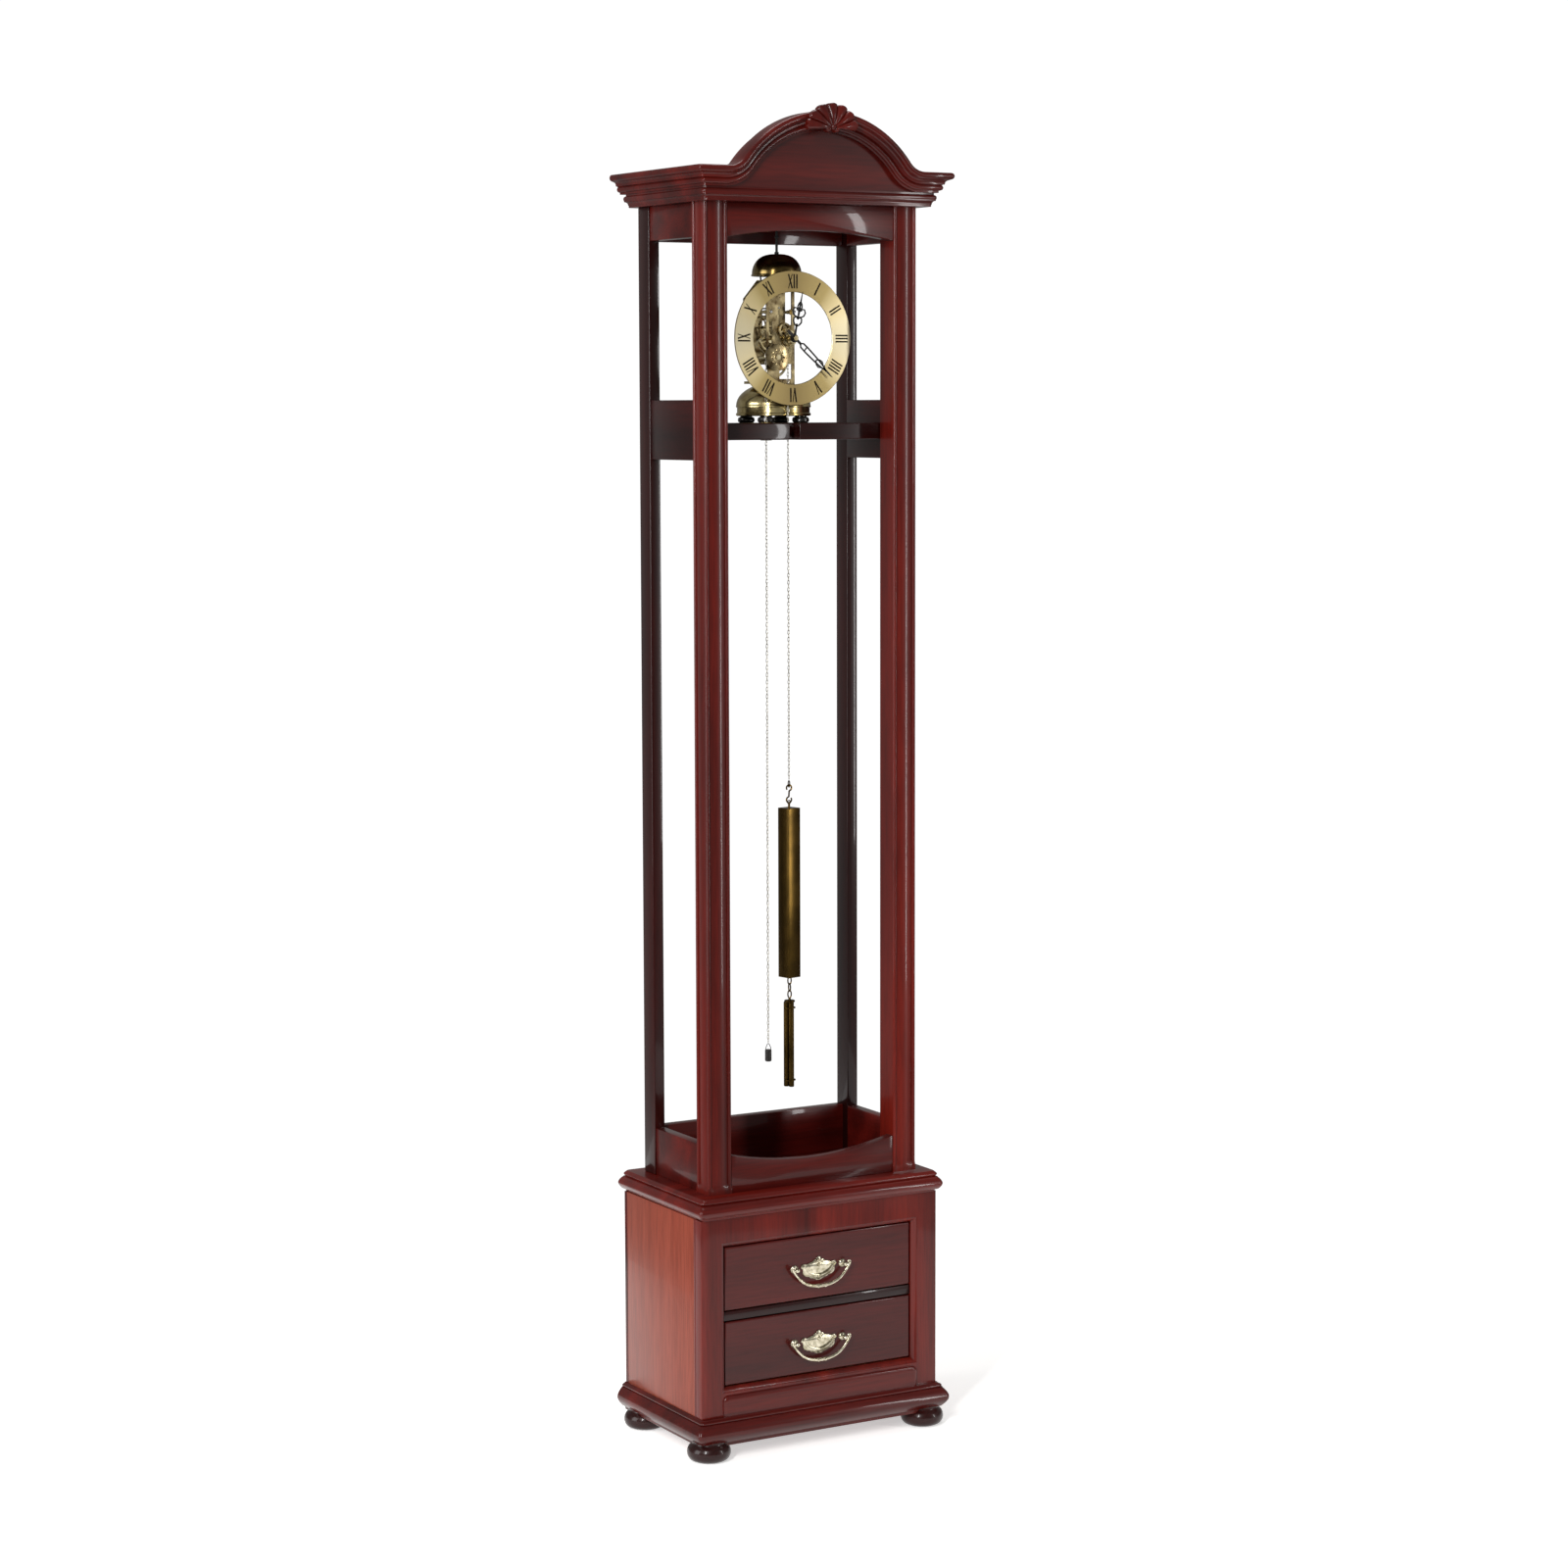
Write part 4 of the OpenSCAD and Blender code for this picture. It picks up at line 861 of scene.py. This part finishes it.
def makeDial():
    look = dialLook
    outer, inner = dialHigh.x, look["bore"]
    y0, y1 = dialLow.y, dialHigh.y
    edge = look["bevel"]
    bm = bmesh.new()
    addTurned(bm, [(inner, y1), (inner, y0 + edge), (inner + edge, y0), (outer - edge, y0),
                   (outer, y0 + edge), (outer, y1)], (0, 0, dialZ), "y", 128, closed=True)
    finishPiece(bm, "dialRing", ringBrassPaintedHighlight, "case", "dial_brass", "dial_ring", angle=25)
    bm = bmesh.new()
    proud = look["strokeProud"]

    # a straight stroke given in the numeral's own plane, then turned to its hour
    def stroke(x0, z0, x1, z1, wide, hour):
        run = Vector((x1 - x0, z1 - z0))
        side = Vector((-run.y, run.x)).normalized() * wide / 2
        made = addSlab(bm, [(x0 + side.x, z0 + side.y), (x1 + side.x, z1 + side.y),
                            (x1 - side.x, z1 - side.y), (x0 - side.x, z0 - side.y)], y0 - proud, y0 + 0.05)
        bmesh.ops.translate(bm, vec=(0, 0, look["numeralMid"]), verts=made)
        turnVerts(bm, made, 30 * hour, "Y")
        bmesh.ops.translate(bm, vec=(0, 0, dialZ), verts=made)

    half = look["numeralTall"] / 2
    heavy, light = look["heavy"], look["light"]
    widths = {"I": 4.6, "V": 8.6, "X": 8.6}
    names = ["XII", "I", "II", "III", "IIII", "V", "VI", "VII", "VIII", "IX", "X", "XI"]
    for hour, name in enumerate(names):
        total = sum(widths[c] for c in name)
        x = -total / 2
        for c in name:
            mid = x + widths[c] / 2
            if c == "I":
                stroke(mid, -half, mid, half, heavy, hour)
            elif c == "V":
                stroke(mid - 3, half, mid, -half, heavy, hour)
                stroke(mid + 3, half, mid, -half, light, hour)
            else:
                stroke(mid - 3.2, half, mid + 3.2, -half, heavy, hour)
                stroke(mid + 3.2, half, mid - 3.2, -half, light, hour)
            x += widths[c]
    finishPiece(bm, "dialNumerals", numeralBlack, "case", "black_metal")
    bm = bmesh.new()
    low, high = spot("dial_pillars")
    mid = (dialHigh.x + inner) / 2
    for x, side in look["pillars"]:
        z = dialZ + side * math.sqrt(mid * mid - x * x)
        addTurned(bm, [(0, low.y), (3.4, low.y), (3.4, low.y + 1), (2, low.y + 1.8), (2.6, low.y + 5.5),
                       (2, high.y - 1.8), (3.6, high.y - 1), (3.6, high.y), (0, high.y)], (x, 0, z), "y", 18)
    finishPiece(bm, "dialPillars", brass, "case", "brass", "dial_pillars")


handLook = {"hourTurn": 12, "minuteTurn": 132}


# Hands are cut from sheet steel; each is drawn pointing up, then turned to its place
def makeHands():
    low, high = spot("hour_hand")
    y0, y1 = low.y, high.y
    bm = bmesh.new()

    def strip(path, wide):
        rows = []
        for i, (x, z) in enumerate(path):
            ahead = Vector(path[min(i + 1, len(path) - 1)]) - Vector(path[max(i - 1, 0)])
            width = wide[i] if isinstance(wide, list) else wide
            side = Vector((-ahead.y, ahead.x)).normalized() * width / 2
            rows.append([Vector((x + side.x, y0, z + side.y)), Vector((x - side.x, y0, z - side.y)),
                         Vector((x - side.x, y1, z - side.y)), Vector((x + side.x, y1, z + side.y))])
        addSkin(bm, rows)

    strip([(0, 5), (0, 12), (0, 22)], [4, 3.2, 2.6])
    for s in (-1, 1):
        strip([(0, 18), (s * 4, 20.5), (s * 7, 25), (s * 6.4, 30), (s * 3, 32.4), (s * 0.6, 29.6)], 2.3)
        strip([(0, 30), (s * 4.4, 32), (s * 9, 35), (s * 11, 40), (s * 8.4, 44.6), (s * 4.4, 44.4),
               (s * 3.4, 41)], 2.2)
        strip([(s * 1, 40), (s * 3.8, 47), (s * 2.6, 51.6), (0, 55)], 2)
    strip([(0, 28), (0, 40), (0, 54), (0, 70)], [2.6, 3.4, 2.6, 0.7])
    addTurned(bm, [(3.65, y0), (6.4, y0), (6.4, y1), (3.65, y1)], (0, 0, 0), "y", 32, closed=True)
    turnVerts(bm, bm.verts, handLook["hourTurn"], "Y")
    bmesh.ops.translate(bm, vec=(0, 0, dialZ), verts=bm.verts)
    finishPiece(bm, "hourHand", handBlack, "hour_pipe", "black_metal", "hour_hand")
    low, high = spot("minute_hand")
    y0, y1 = low.y, high.y
    bm = bmesh.new()
    strip([(0, -17), (0, -12), (0, -5)], [3, 5.4, 3.4])
    strip([(0, 5), (0, 14)], [4.2, 3.6])
    for s in (-1, 1):
        strip([(0, 12), (s * 3.6, 16), (s * 4, 26), (s * 3.6, 38), (s * 3, 52), (s * 1.8, 64), (0, 71)], 2.4)
        strip([(0, 48), (s * 4.6, 53), (s * 5.4, 58), (s * 2.6, 62)], 2)
    strip([(0, 66), (0, 76), (0, 86)], [3.4, 2.6, 0.7])
    strip([(-3.4, 24), (3.4, 24)], 2)
    addTurned(bm, [(2.6, y0), (5.4, y0), (5.4, y1), (2.6, y1)], (0, 0, 0), "y", 28, closed=True)
    turnVerts(bm, bm.verts, handLook["minuteTurn"], "Y")
    bmesh.ops.translate(bm, vec=(0, 0, dialZ), verts=bm.verts)
    finishPiece(bm, "minuteHand", handBlack, "minute_arbor", "black_metal", "minute_hand")


makeDial()
makeHands()
print("dial made")


# ---- movement
movementLook = {"pillarSteps": 20, "screwRadius": 2.4}
movementFinish = {brass: ("center_wheel", "hour_wheel", "great_wheel", "escape_wheel", "balance_wheel",
                          "hand_nut"),
                  plateBrass: ("front_plate", "back_plate", "movement_table", "minute_wheel", "third_wheel"),
                  steel: ("click", "pallet_lever", "bell_hammer")}
for metal, names in movementFinish.items():
    for name in names:
        mesh = frame["nodes"][name].data
        mesh.materials.clear()
        mesh.materials.append(metal)
floorBoard = frame["nodes"]["base_floor"]
floorBoard.data.materials.clear()
floorBoard.data.materials.append(crossWood)


def makeStand():
    low, high = spot("dome_base")
    centre = ((low.x + high.x) / 2, (low.y + high.y) / 2, 0)
    r, z0, z1 = (high.x - low.x) / 2, low.z, high.z
    rim = z0 + 16
    rise = (z1 - rim) + 2
    section = [(r - 30, z0), (r - 2, z0), (r, z0 + 1.2), (r, z0 + 4), (r - 1.6, z0 + 5), (r - 1.6, rim - 3.4),
               (r, rim - 2.6), (r, rim - 0.8)]
    section += [(r * math.cos(a) - 0.4, rim + rise * math.sin(a))
                for a in (math.asin((rise - 2) / rise) * i / 16 for i in range(17))]
    section += [(0, z1), (0, z1 - 2)]
    section += [((r - 2.4) * math.cos(a), rim + (rise - 2) * math.sin(a))
                for a in (math.asin((rise - 4) / (rise - 2)) * i / 12 for i in range(12, -1, -1))]
    section += [(r - 3.6, rim), (r - 3.6, z0 + 2), (r - 30, z0 + 2)]
    bm = bmesh.new()
    addTurned(bm, section, centre, steps=96, closed=True)
    finishPiece(bm, "domeStand", domeBrass, "case", "brass", "dome_base", angle=30)
    low, high = spot("dome_feet")
    bm = bmesh.new()
    for x in (low.x + 13, high.x - 13):
        for y in (low.y + 13, high.y - 13):
            addTurned(bm, [(0, low.z), (10.5, low.z), (12.6, low.z + 2), (13, low.z + 4.6), (12, low.z + 7.6),
                           (9, low.z + 9), (9, high.z), (0, high.z)], (x, y, 0), steps=32)
    finishPiece(bm, "domeFeet", footBlack, "case", "black_metal", "dome_feet")


def makePillars():
    low, high = spot("plate_pillars")
    bm = bmesh.new()
    spots = [(low.x + 25, high.z - 3), (high.x - 3, high.z - 3),
             (low.x + 3, low.z + 3), (high.x - 3, low.z + 3)]
    middle = (low.y + high.y) / 2
    end = [(0, 0), (4.4, 0), (4.4, 1.6), (2.6, 3), (2.4, 8), (3, 10), (2.6, 12), (2.2, 18)]
    section = [(r, low.y + h) for r, h in end] + [(3, middle - 3), (3.8, middle), (3, middle + 3)]
    section += [(r, high.y - h) for r, h in reversed(end)]
    for x, z in spots:
        addTurned(bm, section, (x, 0, z), "y", movementLook["pillarSteps"])
    finishPiece(bm, "platePillars", brass, "case", "brass", "plate_pillars")
    r = movementLook["screwRadius"]
    bm = bmesh.new()
    for x, z in spots:
        for face, out in ((spot("front_plate")[0].y, -1), (spot("back_plate")[1].y, 1)):
            addTurned(bm, [(0, face + out * 1.4), (r - 0.6, face + out * 1.3), (r, face + out * 0.6),
                           (r, face - out * 0.1)], (x, 0, z), "y", 16)
    finishPiece(bm, "plateScrews", steel, "case", "steel")


# Hairspring between the balance and the back of the front plate
def makeHairspring():
    x, _, z = pivot("balance_swing")
    y = spot("third_wheel")[0].y + 14
    coils = 5
    path = [((2 + 1.1 * t) * math.cos(math.tau * t) + x, y, (2 + 1.1 * t) * math.sin(math.tau * t) + z)
            for t in (coils * i / 120 for i in range(121))]
    bm = bmesh.new()
    addWire(bm, path, 0.22, 5)
    finishPiece(bm, "hairspring", steel, "balance", "steel")


bellLook = {"wall": 2, "steps": 72, "nutRadius": 3.4, "nutTall": 3}


def makeBell():
    low, high = spot("bell")
    centre = ((low.x + high.x) / 2, (low.y + high.y) / 2, 0)
    r, z0, tall = (high.x - low.x) / 2, low.z, high.z - low.z
    wall = bellLook["wall"]
    outer = [(r - 0.6, z0), (r, z0 + 0.8), (r - 0.3, z0 + 2.4), (r - 1.2, z0 + 3)]
    outer += [((r - 1.2) * math.cos(a) ** 0.72, z0 + 3 + (tall - 3) * math.sin(a))
              for a in (math.radians(88 * i / 18) for i in range(1, 19))]
    outer += [(2.05, high.z)]
    inner = [(2.05, high.z - wall)]
    inner += [((r - 1.4 - wall) * math.cos(a) ** 0.76 + 0.01, z0 + 2 + (tall - 2 - wall) * math.sin(a))
              for a in (math.radians(88 - 88 * i / 18) for i in range(19))]
    inner += [(r - wall - 0.6, z0)]
    bm = bmesh.new()
    addTurned(bm, outer + inner, centre, steps=bellLook["steps"], closed=True)
    finishPiece(bm, "bell", bellBronze, "case", "antique_brass", "bell")
    rod = spot("bell_rod")
    bm = bmesh.new()
    foot, tip = rod[0].z, rod[1].z
    addTurned(bm, [(0, foot), (2, foot + 0.4), (2, tip - 0.5), (1.5, tip), (0, tip)], centre, steps=20)
    finishPiece(bm, "bellRod", handBlack, "case", "steel", "bell_rod")
    bm = bmesh.new()
    nutR, nutTall = bellLook["nutRadius"], bellLook["nutTall"]
    for z in (high.z - 5.2, high.z, high.z + 24, tip - 6):
        made = bmesh.ops.create_cone(bm, cap_ends=True, segments=6, radius1=nutR, radius2=nutR,
                                     depth=nutTall)["verts"]
        bmesh.ops.translate(bm, vec=(centre[0], centre[1], z + nutTall / 2), verts=made)
    soften(bm, 0.35, 2)
    finishPiece(bm, "bellNuts", handBlack, "case", "steel")


makeStand()
makePillars()
makeHairspring()
makeBell()
print("movement made")


# ---- chain, sprocket and weights
chainLook = {"pitch": 5.4, "linkLong": 7.6, "linkWide": 3.5, "wire": 0.55, "rodRadius": 1.8, "loopLinks": 11}


# One open link, lying along z
def addLink(bm):
    look = chainLook
    r = look["linkWide"] / 2 - look["wire"]
    half = look["linkLong"] / 2 - look["linkWide"] / 2
    bend = [(r * math.cos(a), half + r * math.sin(a)) for a in (0, math.pi / 3, math.pi * 2 / 3, math.pi)]
    path = [(x, 0, z) for x, z in bend] + [(-x, 0, -z) for x, z in bend]
    addWire(bm, path, look["wire"], 4, endless=True)


def makeStrand(name, node):
    low, high = spot(node)
    x, y = (low.x + high.x) / 2, (low.y + high.y) / 2
    count = int((high.z - low.z) / chainLook["pitch"])
    gap = (high.z - low.z - chainLook["linkLong"]) / count
    link = bmesh.new()
    addLink(link)
    store = bpy.data.meshes.new("linkShape")
    link.to_mesh(store)
    link.free()
    bm = bmesh.new()
    for i in range(count + 1):
        bm.from_mesh(store)
        bm.verts.ensure_lookup_table()
        made = bm.verts[-len(store.vertices):]
        turnVerts(bm, made, 45 + 90 * (i % 2), "Z")
        bmesh.ops.translate(bm, vec=(x, y, low.z + chainLook["linkLong"] / 2 + gap * i), verts=made)
    bpy.data.meshes.remove(store)
    piece = finishPiece(bm, name, chainNickel, None, "steel", node, angle=60)
    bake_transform(piece)


sprocketLook = {"bosses": 10, "bossCircle": 11, "teeth": 16, "toothCircle": 17.4, "toothTall": 2.4,
                "clicks": 12, "clickFirst": 22, "rootRadius": 7.6, "tipRadius": 9.3}


def makeSprocket():
    look = sprocketLook
    low, high = spot("chain_sprocket")
    x, _, z = pivot("sprocket_turn")
    y0 = low.y
    bm = bmesh.new()
    addTurned(bm, [(2.05, y0), (5, y0), (5.6, y0 + 0.6), (19.6, y0 + 0.2), (20.2, y0 + 0.5), (20.2, y0 + 0.9),
                   (16.4, y0 + 1.1), (16.4, y0 + 4.2), (2.05, y0 + 4.2)], (x, 0, z), "y", 64, closed=True)
    bossTurns = [360 * i / look["bosses"] for i in range(look["bosses"])]
    for px, pz in circlePoints(look["bossCircle"], bossTurns, x, z):
        addTurned(bm, [(0, y0 - 0.4), (1.4, y0 - 0.2), (1.6, y0 + 0.4)], (px, 0, pz), "y", 12)
    addTurned(bm, [(7, y0 + 0.4), (7.4, y0 - 0.5), (8.6, y0 - 0.5), (9, y0 + 0.4)], (x, 0, z), "y", 40)
    for i in range(look["teeth"]):
        made = bmesh.ops.create_cone(bm, cap_ends=True, segments=6, radius1=0.9, radius2=0.35,
                                     depth=look["toothTall"])["verts"]
        bmesh.ops.translate(bm, vec=(0, 0, look["toothCircle"]), verts=made)
        turnVerts(bm, made, 360 * i / look["teeth"], "Y")
        bmesh.ops.translate(bm, vec=(x, y0 + 3, z), verts=made)
    finishPiece(bm, "chainSprocket", plateBrass, "sprocket", "brass", "chain_sprocket")
    # ratchet behind the sprocket: each tooth rises to its tip and drops straight back to the root
    bm = bmesh.new()
    step = 360 / look["clicks"]
    outline = []
    for i in range(look["clicks"]):
        root = i * step + look["clickFirst"]
        outline += circlePoints(look["rootRadius"], [root], x, z)
        outline += circlePoints(look["tipRadius"], [root + step], x, z)
    addSlab(bm, outline, y0 + 4.1, high.y)
    finishPiece(bm, "ratchet", steel, "sprocket", "brass")
    # half loop of links over the top
    loop = spot("chain_loop")
    y = (loop[0].y + loop[1].y) / 2
    bm = bmesh.new()
    count, pitchR = chainLook["loopLinks"], (loop[1].x - loop[0].x) / 2 - chainLook["rodRadius"]
    for i in range(count):
        before = set(bm.verts)
        addLink(bm)
        made = [v for v in bm.verts if v not in before]
        turnVerts(bm, made, 45 + 90 * (i % 2), "Z")
        bmesh.ops.translate(bm, vec=(pitchR, 0, 0), verts=made)
        turnVerts(bm, made, -180 * (i + 0.5) / count, "Y")
        bmesh.ops.translate(bm, vec=(x, y, z), verts=made)
    finishPiece(bm, "chainLoop", chainNickel, "case", "steel", "chain_loop", angle=60)


weightLook = {"half": 12, "turn": 12, "soft": 0.8, "rodCircle": 4.9}


def makeWeights():
    low, high = spot("main_weight")
    hang = spot("weight_links")
    x, y = (hang[0].x + hang[1].x) / 2, (hang[0].y + hang[1].y) / 2
    half = weightLook["half"]
    bm = bmesh.new()
    addBox(bm, (-half, -half, low.z), (half, half, high.z))
    soften(bm, weightLook["soft"], 3)
    turnVerts(bm, bm.verts, weightLook["turn"], "Z")
    bmesh.ops.translate(bm, vec=(x, y, 0), verts=bm.verts)
    finishPiece(bm, "mainWeight", antiqueBrass, "weight", "antique_brass", "main_weight")
    # hooks: an S above the weight, and a link pair below it
    bm = bmesh.new()
    top, under = hang[1].z, high.z
    mid = (top + under) / 2
    upper = circlePoints(4.4, range(215, -91, -20), 0, mid + 9)
    lower = [(-px, 2 * mid - pz) for px, pz in reversed(upper)]
    addWire(bm, [(px + x, y, pz) for px, pz in upper + lower], 1.3, 8)
    addWire(bm, [(x, y, under - 0.5), (x, y, under + 7)], 1.8, 12)

    # a ring of wire half as wide and half as tall as given, facing the front or a side
    def addRing(wide, tall, z, thick, facing):
        points = [(px * wide, z + pz * tall) for px, pz in circlePoints(1, range(0, 360, 30))]
        path = [(x + px, y, pz) if facing == "front" else (x, y + px, pz) for px, pz in points]
        addWire(bm, path, thick, 6, endless=True)

    addRing(2.6, 2.6, under + 8.4, 0.9, "front")
    addRing(2.4, 5, top - 6, 0.9, "side")
    for drop, facing in ((5.6, "front"), (16.2, "side"), (26.6, "front")):
        addRing(3, 6, low.z - drop, 1.1, facing)
    finishPiece(bm, "weightHooks", antiqueBrass, "weight", "antique_brass", "weight_links")
    low, high = spot("small_weight")
    bm = bmesh.new()
    foot, tip = low.z, high.z
    for cx, cy in circlePoints(weightLook["rodCircle"], (30, 150, 270), x, y):
        addTurned(bm, [(0, foot), (3.4, foot), (4.2, foot + 0.8), (4.2, tip - 6.8), (3.4, tip - 6),
                       (0, tip - 6)], (cx, cy, 0), steps=20)
    addTurned(bm, [(0, tip - 6.5), (7.6, tip - 6.5), (8.2, tip - 5.8), (8.2, tip - 4), (7.4, tip - 3.4),
                   (2, tip - 2.6), (1.6, tip), (0, tip)], (x, y, 0), steps=28)
    for z in (low.z + 9, high.z - 16):
        addTurned(bm, [(8.2, z), (9.1, z + 0.3), (9.1, z + 1.7), (8.2, z + 2)], (x, y, 0),
                  steps=28, closed=True)
    finishPiece(bm, "smallWeight", antiqueBrass, "weight", "antique_brass", "small_weight")
    low, high = spot("tail_weight")
    x, y = (low.x + high.x) / 2, (low.y + high.y) / 2
    body = high.z - 10
    bm = bmesh.new()
    addTurned(bm, [(0, low.z), (4, low.z), (5, low.z + 1), (5, body - 1), (4.2, body), (0, body)],
              (x, y, 0), steps=24)
    side = [(-4.4, body - 3), (-4.4, body + 2), (-2, body + 7.6)]
    bail = side + [(0, high.z - 0.6)] + [(-px, pz) for px, pz in reversed(side)]
    addWire(bm, [(x + px, y, pz) for px, pz in bail], 0.6, 6)
    finishPiece(bm, "tailWeight", footBlack, "tail", "black_metal", "tail_weight")


makeStrand("weightChain", "weight_chain")
makeStrand("tailChain", "tail_chain")
makeSprocket()
makeWeights()
print("weights made")


# ---- room, light and camera
roomLook = {"floor": "#f2f1ef", "floorRadius": 1500, "floorGlow": 0.5, "backdrop": 1.05, "roomGlow": 0.28,
            "aim": (0, 0, 1.1)}
# each light's place and size in metres, and its power in watts
roomLights = {"keyPanel": ((-2.9, -2.6, 2.6), (0.4, 2.6), 150),
              "rightStrip": ((2.68, -2.97, 1.4), (0.22, 2.6), 40),
              "leftPanel": ((-3.2, 0.2, 1.4), (1.6, 2.4), 60),
              "topPanel": ((0.2, 0.4, 3.8), (1.6, 1.2), 30)}


def makeRoom():
    look = roomLook
    finish = newFinish("plainFloor", Base_Color=shade(look["floor"]), Roughness=0.8, Specular_IOR_Level=0.1,
                       Emission_Color=shade("#ffffff"), Emission_Strength=look["floorGlow"])[0]
    bm = bmesh.new()
    bmesh.ops.create_circle(bm, cap_ends=True, segments=128, radius=look["floorRadius"])
    bmesh.ops.translate(bm, vec=(0, 0, -0.2), verts=bm.verts)
    finishPiece(bm, "floor", finish, None, None)
    # the camera sees a white backdrop, while the room lights the clock more softly
    world = bpy.data.worlds.new("studio")
    bpy.context.scene.world = world
    world.use_nodes = True
    tree = world.node_tree
    tree.nodes.clear()
    glow = addNode(tree, "ShaderNodeBackground", {"Color": shade("#fbfaf8"), "Strength": look["roomGlow"]})
    backdrop = addNode(tree, "ShaderNodeBackground",
                       {"Color": shade("#ffffff"), "Strength": look["backdrop"]})
    path = addNode(tree, "ShaderNodeLightPath")
    chosen = addNode(tree, "ShaderNodeMixShader",
                     links={0: path.outputs["Is Camera Ray"], 1: glow.outputs["Background"],
                            2: backdrop.outputs["Background"]})
    addNode(tree, "ShaderNodeOutputWorld", links={"Surface": chosen.outputs["Shader"]})
    bpy.context.scene.view_settings.view_transform = "Standard"
    for name, (place, size, power) in roomLights.items():
        light = bpy.data.lights.new(name, "AREA")
        light.shape = "RECTANGLE"
        light.size, light.size_y = size
        light.energy = power
        lamp = bpy.data.objects.new(name, light)
        lamp.location = place
        lamp.rotation_euler = (Vector(look["aim"]) - Vector(place)).to_track_quat("-Z", "Y").to_euler()
        bpy.context.scene.collection.objects.link(lamp)


cameraLook = {"place": (-2655, -4574.5, 1560.1), "turn": 30.12, "down": 6.093, "roll": 0.164, "lens": 80.74}


def makeCamera():
    look = cameraLook
    view = bpy.data.cameras.new("frontView")
    view.lens = look["lens"]
    view.sensor_width = 36
    view.clip_start, view.clip_end = 0.1, 60
    stand = bpy.data.objects.new("frontView", view)
    turn, down = math.radians(look["turn"]), math.radians(look["down"])
    ahead = Vector((math.sin(turn) * math.cos(down), math.cos(turn) * math.cos(down), -math.sin(down)))
    stand.rotation_mode = "QUATERNION"
    aim = ahead.to_track_quat("-Z", "Y").to_matrix().to_4x4()
    roll = Matrix.Rotation(math.radians(-look["roll"]), 4, "Z")
    stand.matrix_world = Matrix.Translation(Vector(look["place"]) * mm) @ aim @ roll
    bpy.context.scene.collection.objects.link(stand)
    bpy.context.scene.camera = stand


makeRoom()
makeCamera()
print("room made")
